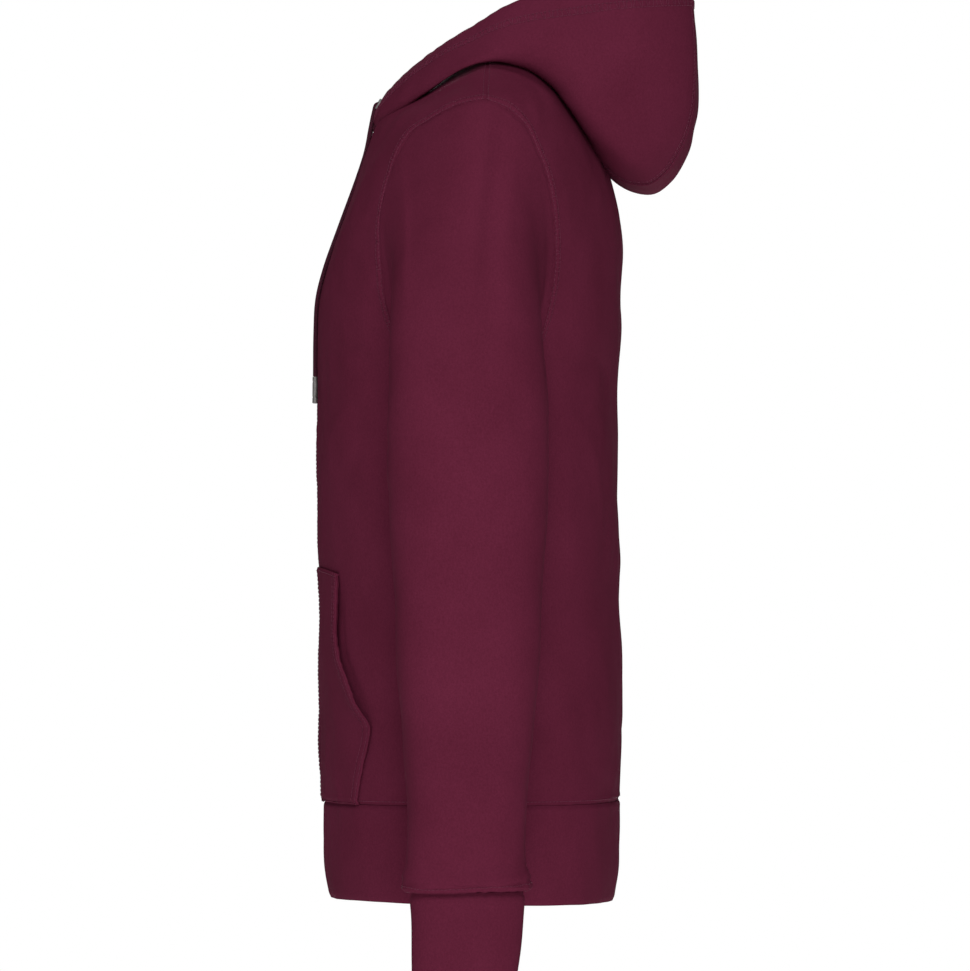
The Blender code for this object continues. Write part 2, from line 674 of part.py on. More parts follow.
# ---- hood -------------------------------------------------------------------------------
def hood_section(turn):
    """The hood's cut at one turn: from the neck over the shoulder, out, and up to the rim."""
    neck_angle, neck_z = neck_seam(math.radians(turn))
    rest_angle = math.radians(HOOD.at(turn, "rest_angle"))
    rest_z = HOOD.at(turn, "rest_z")
    section = []
    for share in spread(HOOD_LIE_COLUMNS + 1, 0.0, 1.0):
        angle = neck_angle + (rest_angle - neck_angle) * share
        lift = HOOD_LIFT + HOOD_ROLL * math.sin(math.pi * share)
        section.append(skin(angle, neck_z + (rest_z - neck_z) * share, lift))
    facing = math.radians(HOOD.at(turn, "out"))
    way = Vector((math.sin(facing), -math.cos(facing), 0.0))
    up = Vector((0.0, 0.0, 1.0))
    rest = section[-1]
    rim = Vector((HOOD.at(turn, "rim_x"), HOOD.at(turn, "rim_y"), HOOD.at(turn, "rim_z")))
    low = rest + way * HOOD.at(turn, "reach") - up * HOOD.at(turn, "drop")
    high = rim + way * HOOD.at(turn, "lean") - up * HOOD.at(turn, "wall")
    for t in spread(HOOD_WALL_COLUMNS + 1, 0.0, 1.0)[1:]:
        u = 1 - t
        section.append(rest * u ** 3 + low * 3 * u * u * t + high * 3 * u * t * t + rim * t ** 3)
    return section


def add_hood(collection, cloth):
    side = pull_in([hood_section(turn) for turn in HOOD_SIDE_TURNS], ("last",), SEAM / 2)
    cloth_piece(collection, "hood_left", side, CLOTH, cloth["hood_left"], flip=True, even=False)
    cloth_piece(collection, "hood_right", other_side(side), CLOTH, cloth["hood_right"], even=False)
    centre = pull_in([hood_section(turn) for turn in HOOD_CENTRE_TURNS], ("first",), SEAM / 2)
    for point in centre[-1]:
        point.x = 0.0
    cloth_piece(collection, "hood_centre", centre, CLOTH, cloth["hood_centre"], flip=True,
                mirrored=True, even=False)


# ---- the zip ----------------------------------------------------------------------------
def add_zip_tape(collection, name, sign, material):
    """A tape with its row of teeth, swept down the centre front."""
    back = TAPE_OUT - TAPE_THICK
    teeth_out = TAPE_OUT - TAPE_THICK / 2 + TEETH_THICK / 2
    teeth_edge = TAPE_EDGE + TEETH_WIDTH
    profile = [(TAPE_EDGE, back), (TAPE_EDGE + TAPE_WIDTH, back), (TAPE_EDGE + TAPE_WIDTH, TAPE_OUT),
               (teeth_edge, TAPE_OUT), (teeth_edge - TEETH_CHAMFER, teeth_out), (TAPE_EDGE, teeth_out)]
    heights = [ZIP_BOTTOM_Z] + list(HEM_HEIGHTS[1:-1]) + centre_heights(NECK_FRONT_Z)
    sections = [[skin(angle_at_x(sign * x, z), z, out) for x, out in profile] for z in heights]
    sections[-1] = [low.lerp(high, TAPE_TOP_SHARE) for low, high in zip(*sections[-2:])]
    work = bmesh.new()
    rings = [[work.verts.new(point * MM) for point in section] for section in sections]
    for low, high in zip(rings, rings[1:]):
        for i in range(len(profile)):
            j = (i + 1) % len(profile)
            work.faces.new((low[i], low[j], high[j], high[i]))
    work.faces.new(rings[0])
    work.faces.new(rings[-1])
    bmesh.ops.recalc_face_normals(work, faces=work.faces[:])
    mesh = bpy.data.meshes.new(name)
    work.to_mesh(mesh)
    work.free()
    return add_object(collection, name, mesh, material)


class ZipFrame:
    """The slider's own axes: across to the wearer's right, down along the zip, and out."""

    def __init__(self, z):
        step = 2.0
        self.base = bare_skin(0.0, z)
        self.down = (bare_skin(0.0, z - step) - bare_skin(0.0, z + step)).normalized()
        self.across = Vector((-1.0, 0.0, 0.0))
        self.out = self.across.cross(self.down)

    def point(self, across, down, out):
        return self.base + self.across * across + self.down * down + self.out * out

    def matrix(self, down, out):
        """Puts an object's X across, its Y down the zip and its Z out, at a point of the zip."""
        turn = Matrix((self.across, self.down, self.out)).transposed().to_4x4()
        return Matrix.Translation(self.point(0.0, down, out) * MM) @ turn


def outline_mesh(name, outlines, thick):
    """A flat plate of the given outlines in its own XY plane, the first one its edge."""
    curve = bpy.data.curves.new(name, "CURVE")
    curve.dimensions = "2D"
    curve.fill_mode = "BOTH"
    curve.extrude = thick / 2 * MM
    for outline in outlines:
        spline = curve.splines.new("POLY")
        spline.points.add(len(outline) - 1)
        for point, (x, y) in zip(spline.points, outline):
            point.co = (x * MM, y * MM, 0.0, 1.0)
        spline.use_cyclic_u = True
    guide = bpy.data.objects.new(name, curve)
    bpy.context.scene.collection.objects.link(guide)
    evaluated = guide.evaluated_get(bpy.context.evaluated_depsgraph_get())
    mesh = bpy.data.meshes.new_from_object(evaluated)
    bpy.data.objects.remove(guide, do_unlink=True)
    work = bmesh.new()
    work.from_mesh(mesh)
    bmesh.ops.remove_doubles(work, verts=work.verts[:], dist=0.00001)
    work.to_mesh(mesh)
    work.free()
    return mesh


def block_mesh(name, size, bevel):
    work = bmesh.new()
    bmesh.ops.create_cube(work, size=1.0)
    bmesh.ops.scale(work, vec=[side * MM for side in size], verts=work.verts[:])
    bmesh.ops.bevel(work, geom=work.edges[:], offset=bevel * MM, segments=2, affect="EDGES")
    mesh = bpy.data.meshes.new(name)
    work.to_mesh(mesh)
    work.free()
    return mesh


def round_outline(half_width, start, stop, radius):
    """A plate's outline from start to stop along Y, with round corners."""
    outline = []
    corners = ((half_width, stop, 0), (-half_width, stop, 90), (-half_width, start, 180),
               (half_width, start, 270))
    for x, y, first in corners:
        centre_x = x - math.copysign(radius, x)
        centre_y = y - radius if y == stop else y + radius
        for step in range(4):
            turn = math.radians(first + 30 * step)
            outline.append((centre_x + radius * math.cos(turn), centre_y + radius * math.sin(turn)))
    return outline


def add_slider(collection, cutters, metal):
    """The slider's front plate with the bail that holds the pull tab."""
    frame = ZipFrame(SLIDER_Z)
    plate = block_mesh("zip_slider", SLIDER_SIZE, METAL_BEVEL)
    plate = add_object(collection, "zip_slider", plate, metal)
    plate.matrix_world = frame.matrix(0.0, SLIDER_TOP - SLIDER_SIZE[2] / 2)
    outer = round_outline(BAIL_LENGTH / 2, SLIDER_TOP - BAIL_ROOT, BAIL_TOP, BAIL_CORNER)
    inner = round_outline(BAIL_LENGTH / 2 - BAIL_WIRE, SLIDER_TOP - BAIL_HOLE_ROOT,
                          BAIL_TOP - BAIL_WIRE, BAIL_HOLE_CORNER)
    bail = bpy.data.objects.new("bail_shape", outline_mesh("bail_shape", (outer, inner), BAIL_WIDTH))
    upright = Matrix((frame.down, frame.out, frame.across)).transposed().to_4x4()
    bail.matrix_world = Matrix.Translation(frame.base * MM) @ upright
    bail.hide_render = True
    bail.display_type = "WIRE"
    cutters.objects.link(bail)
    join = plate.modifiers.new("bail", "BOOLEAN")
    join.operation = "UNION"
    join.object = bail


def add_pull(collection, metal):
    """The pull tab: a cross bar under the bail, a window round it and a round-ended tab."""
    frame = ZipFrame(SLIDER_Z)
    edge = round_outline(PULL_WIDTH / 2, -PULL_BAR / 2, PULL_LENGTH, PULL_CORNER)
    edge = [(x, max(y, -PULL_BAR / 2)) for x, y in edge]
    window = round_outline(PULL_WINDOW / 2, PULL_BAR / 2, PULL_WINDOW_END, PULL_WINDOW_CORNER)
    pull = add_object(collection, "zip_pull", outline_mesh("zip_pull", (edge, window), PULL_THICK), metal)
    lean = Matrix.Rotation(-math.radians(PULL_LEAN), 4, "X")
    pull.matrix_world = frame.matrix(0.0, PIVOT_OUT) @ lean


def add_zip_box(collection, metal):
    """The block at the zip's foot that its two halves plug into."""
    box = add_object(collection, "zip_box", block_mesh("zip_box", BOX_SIZE, METAL_BEVEL), metal)
    middle = ZIP_BOTTOM_Z + BOX_SIZE[1] / 2
    box.matrix_world = ZipFrame(middle).matrix(0.0, SLIDER_TOP - BOX_SIZE[2] / 2)


# ---- the hood cord ----------------------------------------------------------------------
def hood_point(turn, share):
    """A point of the hood's wall and the way the cloth faces there."""
    def at(angle, place):
        section = hood_section(angle)[HOOD_LIE_COLUMNS:]
        index = min(int(place * HOOD_WALL_COLUMNS), HOOD_WALL_COLUMNS - 1)
        return section[index].lerp(section[index + 1], place * HOOD_WALL_COLUMNS - index)

    step_turn, step_share = 2.0, 0.06
    along = at(turn + step_turn, share) - at(turn - step_turn, share)
    up = at(turn, share + step_share) - at(turn, share - step_share)
    return at(turn, share), along.cross(up).normalized()


def cord_points():
    """The left cord's middle line, from its eyelet down the front to its tip."""
    place, facing = hood_point(EYELET_TURN, EYELET_SHARE)
    route = [place + facing * CORD_START, place + facing * CORD_OUT]
    route.append(place + facing * CORD_TURN_OUT - Vector((0.0, 0.0, CORD_TURN_DROP)))
    route += [skin(angle_at_x(x, z), z, gap) for x, z, gap in CORD_ROUTE]
    fine = smooth_path(route, CORD_FINE_POINTS)
    return fine[:CORD_BEND_POINTS:2] + fine[CORD_BEND_POINTS::7] + fine[-1:]


def add_cord(collection, side, sign, cord_colour, metal):
    points = [Vector((sign * point.x, point.y, point.z)) * MM for point in cord_points()]
    curve = bpy.data.curves.new("drawcord_" + side, "CURVE")
    curve.dimensions = "3D"
    curve.bevel_depth = CORD_DIAMETER / 2 * MM
    curve.bevel_resolution = 2
    curve.use_fill_caps = True
    spline = curve.splines.new("POLY")
    spline.points.add(len(points) - 1)
    for corner, point in zip(spline.points, points):
        corner.co = (*point, 1.0)
    add_object(collection, "drawcord_" + side, curve, cord_colour)

    way = (points[-1] - points[-2]).normalized()
    turn = Vector((0.0, 0.0, 1.0)).rotation_difference(way).to_matrix().to_4x4()
    middle = points[-1] + way * (LAY + TIP_LENGTH / 2) * MM
    work = bmesh.new()
    bmesh.ops.create_cone(work, cap_ends=True, segments=14, radius1=TIP_DIAMETER / 2 * MM,
                          radius2=TIP_DIAMETER / 2 * MM, depth=TIP_LENGTH * MM)
    mesh = bpy.data.meshes.new("cord_tip_" + side)
    work.to_mesh(mesh)
    work.free()
    tip = add_object(collection, "cord_tip_" + side, mesh, metal)
    tip.matrix_world = Matrix.Translation(middle) @ turn

    place, facing = hood_point(EYELET_TURN, EYELET_SHARE)
    place = Vector((sign * place.x, place.y, place.z))
    facing = Vector((sign * facing.x, facing.y, facing.z))
    bpy.ops.mesh.primitive_torus_add(major_segments=18, minor_segments=6,
                                     major_radius=EYELET_RADIUS * MM, minor_radius=EYELET_WIRE * MM)
    ring = bpy.context.active_object
    for holder in list(ring.users_collection):
        holder.objects.unlink(ring)
    collection.objects.link(ring)
    ring.name = "eyelet_" + side
    ring.data.materials.append(metal)
    turn = Vector((0.0, 0.0, 1.0)).rotation_difference(facing).to_matrix().to_4x4()
    ring.matrix_world = Matrix.Translation((place + facing * (EYELET_WIRE + EYELET_CLEAR)) * MM) @ turn


def main():
    clear_scene()
    collection = bpy.data.collections.new("zip_up_hoodie")
    cutters = bpy.data.collections.new("cutters")
    for group in (collection, cutters):
        bpy.context.scene.collection.children.link(group)
    wine = (0.075, 0.012, 0.028)
    names = ("back", "front_left", "front_right", "sleeve_left", "sleeve_right", "cuff_left",
             "cuff_right", "hem_band", "hood_left", "hood_right", "hood_centre", "pocket_left",
             "pocket_right")
    cloth = {name: new_material(name + "_cloth", wine, 0.9) for name in names}
    metal = new_material("zip_metal", (0.4, 0.38, 0.37), 0.35, 1.0)
    tape = new_material("zip_tape", (0.03, 0.004, 0.01), 0.7)
    cord = new_material("cord", (0.06, 0.008, 0.02), 0.8)
    add_body(collection, cloth)
    add_hem_band(collection, cloth)
    add_sleeves(collection, cloth)
    add_pockets(collection, cutters, cloth)
    add_hood(collection, cloth)
    add_zip_tape(collection, "zip_tape_left", 1, tape)
    add_zip_tape(collection, "zip_tape_right", -1, tape)
    add_slider(collection, cutters, metal)
    add_pull(collection, metal)
    add_zip_box(collection, metal)
    for side, sign in (("left", 1), ("right", -1)):
        add_cord(collection, side, sign, cord, metal)


main()
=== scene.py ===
"""The look of a zip-up hoodie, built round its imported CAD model.

Each cloth piece is a fine wall on its CAD solid's outer face, with seams, folds and sewing.
+Z is up, the wearer faces -Y and the wearer's left is +X. Lengths are in metres, or in
millimetres where a comment says so. Every cloth piece is read as a grid, whose rows run from
its first edge to its last and whose columns run from its start to its end.
"""
import math

import bmesh
import bpy
import numpy as np
from mathutils import Matrix, Vector
from mathutils.bvhtree import BVHTree


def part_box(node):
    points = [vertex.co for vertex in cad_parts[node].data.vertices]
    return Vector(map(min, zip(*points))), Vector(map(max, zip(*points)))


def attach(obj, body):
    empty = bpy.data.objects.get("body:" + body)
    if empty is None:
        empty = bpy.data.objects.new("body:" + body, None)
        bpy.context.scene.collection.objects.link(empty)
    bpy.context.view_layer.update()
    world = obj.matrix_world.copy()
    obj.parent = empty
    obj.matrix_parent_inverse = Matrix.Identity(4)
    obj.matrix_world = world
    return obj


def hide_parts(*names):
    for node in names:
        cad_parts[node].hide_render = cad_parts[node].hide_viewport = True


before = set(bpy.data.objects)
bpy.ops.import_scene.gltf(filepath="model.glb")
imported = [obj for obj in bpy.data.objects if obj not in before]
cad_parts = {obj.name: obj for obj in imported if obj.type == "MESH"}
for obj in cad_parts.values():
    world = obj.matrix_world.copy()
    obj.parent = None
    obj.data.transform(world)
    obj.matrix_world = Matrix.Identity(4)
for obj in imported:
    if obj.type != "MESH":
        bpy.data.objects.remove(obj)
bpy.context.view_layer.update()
MM = 0.001
SIDES = (("left", 1), ("right", -1))

# ---- the camera, at the photograph's side view
CAMERA_PLACE = (9.0, -0.0024, -0.356)
CAMERA_TURN = (math.radians(90), 0.0, math.radians(90))
CAMERA_LENS = 417.5
CAMERA_SENSOR = 36.0

# ---- cloth
CLOTH = 1.9 * MM           # wall of the brushed fleece
BAND = 2.4 * MM            # wall of the doubled hem band and cuffs
POCKET_WALL = 1.7 * MM
POCKET_LIFT = 2.05 * MM    # the pocket's outer face, above the front's
WELD = 1e-6
CENTRE_WELD = 1e-5         # points this near to the centre line lie on it
TINY = 1e-9                # keep a length and an area from being divided by nothing
TINY_AREA = 1e-12
PATCH_ANGLE = math.radians(62)   # a wall's rim turns more sharply than this from its faces
SHARP_ANGLE = math.radians(55)
PANEL_STEP = 3.1 * MM      # a cell of the large panels, and of the small pieces
SMALL_STEP = 2.5 * MM
EDGE_PLACES = [place * MM for place in (0.0, 0.5, 1.0, 1.6, 2.3, 3.2, 4.4, 6.0)]
WRAP = 3                   # columns repeated at a ring's ends, so that its curves close
ALL_EDGES = (True, True, True, True)

# ---- where the pieces begin and end
ZIP_HALF_GAP = 5.2 * MM    # from the centre line to the front's edge
SIDE_SEAM_Y = -0.012
UNDERARM_Z = -0.284
WRIST_RAISE = 4.0 * MM     # the wrist seam sits this much higher than on the plain solids
WRIST_REACH = 28 * MM
HOOD_FRONT_NECK = (0.0045, -0.087, -0.068)
HOOD_FRONT_RIM = (0.0045, -0.0825, -0.051)
HOOD_BACK_NECK = (0.0139, 0.0522, -0.014)
HOOD_BACK_RIM = (0.066, 0.160, 0.051)
HOOD_HEM = 24.0            # depth of the hem round the hood's opening, in millimetres
HEM_PROUD = 0.6 * MM       # how far the hem band stands out from the panels

# ---- the cloth's uneven surface
UNREST_SEED = 7
UNREST = ((0.16, 1.2 * MM), (0.08, 0.55 * MM), (0.035, 0.22 * MM))   # wavelengths and heights
UNREST_WAVES = 7           # waves at each wavelength
UNREST_SHARE = 2.6         # so many waves make up the whole height
PHASES = 6.28              # about a whole turn
PUCKER_PITCHES = (0.8, 1.0, 1.37)

# ---- sewing
THREAD_RADIUS = 0.28 * MM
LOOPER_RADIUS = THREAD_RADIUS * 0.8
STITCH_PITCH = 3.3 * MM
STITCH_LENGTH = 2.7 * MM
STITCH_LIFT = 0.15 * MM
LOOPER_LIFT = 0.2 * MM
LOOPER_SLANT = 0.35        # of a stitch's length
SEAM_LIFTS = {"wrist": 0.1 * MM}     # the seams whose stitches sink in
# A stitch's four rings: share of its length, share of its radius, and lift in radii.
STITCH_RINGS = ((0.0, 0.45, -0.3), (0.22, 1.0, 0.45), (0.78, 1.0, 0.45), (1.0, 0.45, -0.3))
STITCH_CORNERS = ((1, 0), (0, 1), (-1, 0), (0, -1))
ALLOWANCE_RADIUS = 1.5 * MM
ALLOWANCE_DEPTH = 1.6 * MM
ALLOWANCE_SIDES = 6

# ---- the pocket, in millimetres
POCKET_INNER = 9.0         # its edge beside the zip
POCKET_TOP = -421.0
POCKET_CORNER = -547.0
POCKET_MEAN = 130.0        # its mean width
POCKET_SAG = 4.5           # how far the top edge drops at its outer end
SAG_START = 0.35           # the share of the width from which it drops
SAG_REACH = 45.0           # how far below the top the drop is felt
POCKET_GAPE = 3.3          # how far the mouth stands open, and how far in from its edge
GAPE_REACH = 13.0
GAPE_FADES = (20.0, 30.0)  # over these lengths the mouth closes at its foot and its head
BELLY = 0.9                # how far the pouch bulges, where above its foot, and over what reach
BELLY_HEIGHT = 60.0
BELLY_REACH = 40.0
POCKET_SEED = 31
MOUTH_GAP = 4.0            # from the pocket's free edge to the hollow beside it
MOUTH_HOLLOW = (3.3, -2.0)     # the hollow's width and height
RAY_START = 0.3            # metres ahead of the garment
# The pocket's outer edge from the foot up, as (Z, X).
POCKET_EDGE = [(-606.6, 148.5), (-576.0, 159.0), (-547.0, 167.5), (-531.0, 155.5),
               (-509.0, 140.0), (-486.0, 124.0), (-462.0, 117.0), (-425.0, 118.5)]

# ---- the zip, in millimetres
ZIP_BOTTOM = -682.0
ZIP_SMOOTH = 7             # points over which the zip's line is smoothed
TAPE_TOP = -70.5
TAPE_EDGE = 0.3
TAPE_WIDTH = 14.0
TAPE_WALL = 0.9
TAPE_DEPTH = 2.35          # the tape's face, behind the front's
TAPE_COLUMNS = 9
TOOTH_SIZE = (3.6, 1.5, 2.3)
TOOTH_BEVEL = 0.28
TOOTH_NECK = 0.72          # a tooth narrows to this share towards its tape
TOOTH_PITCH = 2.6
TOOTH_ACROSS = 1.35
TOOTH_DEPTH = 2.6
TEETH_FOOT = -670.5
TEETH_HEAD = -84.5

# ---- the cords and their metal
CORD_DIAMETER = 3.6 * MM
TIP_RADIUS = 2.1 * MM
TIP_LENGTH = 21.0 * MM
TIP_GAP = 0.3 * MM
# The tip's outline from the hole in its foot up, over two grooves to its rolled lip: share of
# its radius, and millimetres above its foot.
TIP_OUTLINE = [(0.5, 0.9), (0.62, 0.15), (0.8, 0.0), (0.93, 0.0), (1.0, 0.4), (1.0, 3.29),
               (0.9, 3.69), (0.9, 4.29), (1.0, 4.69), (1.0, 15.575), (0.9, 15.975), (0.9, 16.575),
               (1.0, 16.975), (1.0, 20.1), (1.03, 20.5), (1.0, 20.9), (0.86, 21.0)]
TIP_SEGMENTS = 28
EYELET_RADIUS = 3.7 * MM
EYELET_WIRE = 0.95 * MM
EYELET_SEGMENTS = 40
EYELET_REACH = 15 * MM     # from this far out the seat is looked for
EYELET_PLACE = (23.83, -84.11, -53.09)
EYELET_FACING = (0.068, -0.893, 0.445)
METAL_SHARP_ANGLE = math.radians(40)
# The left cord's middle line from its eyelet down to its tip, in millimetres.
CORD_POINTS = [
    (23.86, -84.55, -52.87), (24.02, -86.68, -51.71), (24.24, -88.95, -52.26),
    (23.34, -90.03, -54.19), (22.25, -90.55, -56.30), (21.42, -91.05, -58.53),
    (21.05, -91.61, -60.86), (20.96, -92.12, -63.23), (21.00, -92.60, -65.62),
    (21.26, -94.22, -73.96), (21.53, -95.68, -82.34), (21.69, -97.53, -90.64),
    (21.63, -99.97, -98.79), (21.51, -102.68, -106.86), (21.40, -105.47, -114.90),
    (21.29, -108.36, -122.90), (21.17, -111.32, -130.87), (21.08, -114.30, -138.84),
    (21.04, -117.24, -146.83), (21.09, -120.15, -154.82), (21.21, -123.10, -162.80),
    (21.38, -126.01, -170.79), (21.57, -128.78, -178.84), (21.72, -131.27, -186.97),
    (21.87, -133.54, -195.17), (22.02, -135.39, -203.47), (22.15, -136.61, -211.89),
    (22.29, -137.19, -220.37), (22.41, -137.45, -228.88), (22.50, -137.68, -237.38),
    (22.56, -137.83, -245.89), (22.60, -137.88, -254.40), (22.64, -137.91, -262.91),
    (22.68, -137.95, -268.98),
]

# ---- the room
FLOOR_Z = -1.45
FLOOR_RADIUS = 10.0
FLOOR_GLOW = 0.5
WORLD_STRENGTH = 0.06
MIDDLE = (0.0, 0.0, -0.35)


# ---- materials
class Nodes:
    """A material's node tree with short calls for the nodes that the cloth and metal use."""

    def __init__(self, name):
        self.material = bpy.data.materials.new(name)
        self.material.use_nodes = True
        self.tree = self.material.node_tree
        self.shader = self.tree.nodes["Principled BSDF"]
        self.place = self.tree.nodes.new("ShaderNodeTexCoord").outputs["Object"]

    def feed(self, socket, value):
        """Gives a socket a number, a colour or scale, or another node's output."""
        if isinstance(value, (int, float)):
            socket.default_value = value
        elif isinstance(value, tuple):
            socket.default_value = (*value, 1.0)[:len(socket.default_value)]
        else:
            self.tree.links.new(value, socket)

    def add(self, kind, output, inputs, **settings):
        node = self.tree.nodes.new("ShaderNode" + kind)
        for name, value in settings.items():
            setattr(node, name, value)
        for name, value in inputs.items():
            self.feed(node.inputs[name], value)
        return node.outputs[output]

    def stretched(self, scale):
        if scale is None:
            return self.place
        return self.add("Mapping", "Vector", {"Scale": scale, "Vector": self.place})

    def noise(self, scale, detail=3.0, roughness=0.55, stretch=None):
        return self.add("TexNoise", "Fac", {"Scale": scale, "Detail": detail, "Roughness": roughness,
                                            "Vector": self.stretched(stretch)})

    def wave(self, scale, axis, distortion=0.0, stretch=None):
        return self.add("TexWave", "Fac", {"Scale": scale, "Distortion": distortion,
                                           "Vector": self.stretched(stretch)}, bands_direction=axis)

    def ramp(self, value, stops):
        node = self.tree.nodes.new("ShaderNodeValToRGB")
        ramp = node.color_ramp
        while len(ramp.elements) < len(stops):
            ramp.elements.new(0.5)
        for element, (place, colour) in zip(ramp.elements, stops):
            element.position = place
            element.color = (*colour, 1.0)
        self.feed(node.inputs["Fac"], value)
        return node.outputs["Color"]

    def mix(self, share, a, b, blend="MIX"):
        return self.add("Mix", 2, {0: share, 6: a, 7: b}, data_type="RGBA", blend_type=blend)

    def math(self, operation, a, b):
        return self.add("Math", 0, {0: a, 1: b}, operation=operation)

    def spread(self, value, low, high):
        """A value from 0 to 1 moved to the range from low to high."""
        return self.add("MapRange", "Result", {"To Min": low, "To Max": high, "Value": value})

    def bump(self, height, strength, distance, below=None):
        inputs = {"Strength": strength, "Distance": distance, "Height": height}
        if below:
            inputs["Normal"] = below
        return self.add("Bump", "Normal", inputs)

    def set(self, **values):
        for name, value in values.items():
            self.feed(self.shader.inputs[name.replace("_", " ")], value)


def fleece_material(name, light, dark):
    """Brushed cotton fleece: a faint mottle, short nap and the knit's fine columns."""
    nodes = Nodes(name)
    mottle = nodes.noise(14.0, 4.0)
    nap = nodes.noise(650.0, 3.0, 0.65)
    colour = nodes.ramp(mottle, [(0.3, dark), (0.7, light)])
    fibres = nodes.ramp(nap, [(0.25, (0.72, 0.68, 0.7)), (0.75, (1.22, 1.26, 1.24))])
    colour = nodes.mix(0.55, colour, fibres, "MULTIPLY")
    knit = nodes.wave(420.0, "Z", 1.5)
    low = nodes.bump(knit, 0.1, 0.00012)
    fuzz = nodes.bump(nap, 0.4, 0.0002, low)
    soft = nodes.bump(nodes.noise(95.0, 3.0), 0.25, 0.0007, fuzz)
    nodes.set(Base_Color=colour, Roughness=nodes.spread(nap, 0.62, 0.8), Normal=soft)
    nodes.set(Specular_IOR_Level=0.005)
    return nodes.material


def thread_material(name, colour):
    nodes = Nodes(name)
    twist = nodes.wave(900.0, "DIAGONAL", 2.0)
    tone = nodes.ramp(twist, [(0.0, tuple(c * 0.7 for c in colour)), (1.0, colour)])
    nodes.set(Base_Color=tone, Roughness=nodes.spread(twist, 0.5, 0.7), Specular_IOR_Level=0.15)
    nodes.set(Normal=nodes.bump(twist, 0.4, 0.0001))
    return nodes.material


def tape_material():
    """Twill tape: fine slanting ribs."""
    nodes = Nodes("zip_tape_twill")
    rib = nodes.wave(700.0, "DIAGONAL", 0.6)
    tone = nodes.ramp(rib, [(0.1, (0.016, 0.002, 0.006)), (0.9, (0.04, 0.007, 0.016))])
    nodes.set(Base_Color=tone, Roughness=nodes.spread(rib, 0.75, 0.9), Normal=nodes.bump(rib, 0.6, 0.0002))
    nodes.set(Specular_IOR_Level=0.3)
    return nodes.material


def metal_material(name, light, dark, rough):
    """Plated metal with fine scratches and smudges of darker and lighter tone."""
    nodes = Nodes(name)
    smudge = nodes.noise(320.0, 5.0, 0.6)
    scratch = nodes.noise(900.0, 2.0, 0.5, (1.0, 1.0, 0.08))
    tone = nodes.ramp(smudge, [(0.3, dark), (0.72, light)])
    nodes.set(Base_Color=tone, Metallic=1.0, Normal=nodes.bump(scratch, 0.15, 0.00005))
    nodes.set(Roughness=nodes.spread(nodes.math("ADD", smudge, nodes.math("MULTIPLY", scratch, 0.4)),
                                     rough, rough + 0.3))
    return nodes.material


def cord_material():
    """A flat-wound braid: two crossing sets of slanting strands."""
    nodes = Nodes("cord_braid")
    left = nodes.wave(330.0, "DIAGONAL", 0.4, (1.0, 1.0, 1.0))
    right = nodes.wave(330.0, "DIAGONAL", 0.4, (-1.0, -1.0, 1.0))
    strands = nodes.math("MAXIMUM", left, right)
    fuzz = nodes.noise(1200.0, 2.0)
    tone = nodes.ramp(strands, [(0.35, (0.012, 0.001, 0.004)), (0.95, (0.055, 0.008, 0.02))])
    nodes.set(Base_Color=nodes.mix(0.2, tone, nodes.ramp(fuzz, [(0.3, (0.01, 0.001, 0.003)),
                                                                (0.7, (0.09, 0.02, 0.04))])))
    nodes.set(Roughness=nodes.spread(fuzz, 0.75, 0.9), Normal=nodes.bump(strands, 0.7, 0.0004))
    nodes.set(Specular_IOR_Level=0.12)
    return nodes.material


WINE_LIGHT, WINE_DARK = (0.100, 0.0140, 0.0335), (0.086, 0.0117, 0.0280)
FLEECE = fleece_material("fleece", WINE_LIGHT, WINE_DARK)
THREAD = thread_material("sewing_thread", (0.132, 0.0215, 0.0500))
TAPE = tape_material()
ZIP_METAL = metal_material("zip_metal_plated", (0.40, 0.38, 0.37), (0.22, 0.21, 0.20), 0.28)
TRIM_METAL = metal_material("cord_metal_plated", (0.28, 0.27, 0.265), (0.18, 0.175, 0.17), 0.42)
CORD = cord_material()


def add_piece(name, data, material, replaces=None, matrix=None):
    piece = bpy.data.objects.new(name, data)
    bpy.context.scene.collection.objects.link(piece)
    data.materials.append(material)
    if matrix is not None:
        piece.matrix_world = matrix
    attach(piece, "garment")
    if replaces:
        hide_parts(replaces)
    return piece


def mesh_from(work, name, sharp=None):
    """A bmesh made into a mesh, smooth but for its sharp edges if their angle is given."""
    mesh = bpy.data.meshes.new(name)
    work.to_mesh(mesh)
    work.free()
    if sharp:
        mesh.shade_smooth()
        mesh.set_sharp_from_angle(angle=sharp)
    return mesh


# ---- the camera
def add_camera():
    data = bpy.data.cameras.new("camera")
    data.lens = CAMERA_LENS
    data.sensor_width = CAMERA_SENSOR
    data.sensor_fit = "HORIZONTAL"
    data.clip_end = 100.0
    camera = bpy.data.objects.new("camera", data)
    camera.location = CAMERA_PLACE
    camera.rotation_euler = CAMERA_TURN
    bpy.context.scene.collection.objects.link(camera)
    bpy.context.scene.camera = camera


# ---- turned metal and the cords
def turned_mesh(name, profile, segments, closed=False):
    """A profile of (radius, height) turned about Z. A closed profile makes a ring."""
    work = bmesh.new()
    turns = [2 * math.pi * i / segments for i in range(segments)]
    rings = [[work.verts.new((radius * math.cos(turn), radius * math.sin(turn), height)) for turn in turns]
             for radius, height in profile]
    for low, high in list(zip(rings, rings[1:])) + ([(rings[-1], rings[0])] if closed else []):
        for i in range(segments):
            j = (i + 1) % segments
            work.faces.new((low[i], low[j], high[j], high[i]))
    if not closed:
        work.faces.new(rings[0])
        work.faces.new(rings[-1])
    bmesh.ops.recalc_face_normals(work, faces=work.faces[:])
    return mesh_from(work, name, METAL_SHARP_ANGLE)


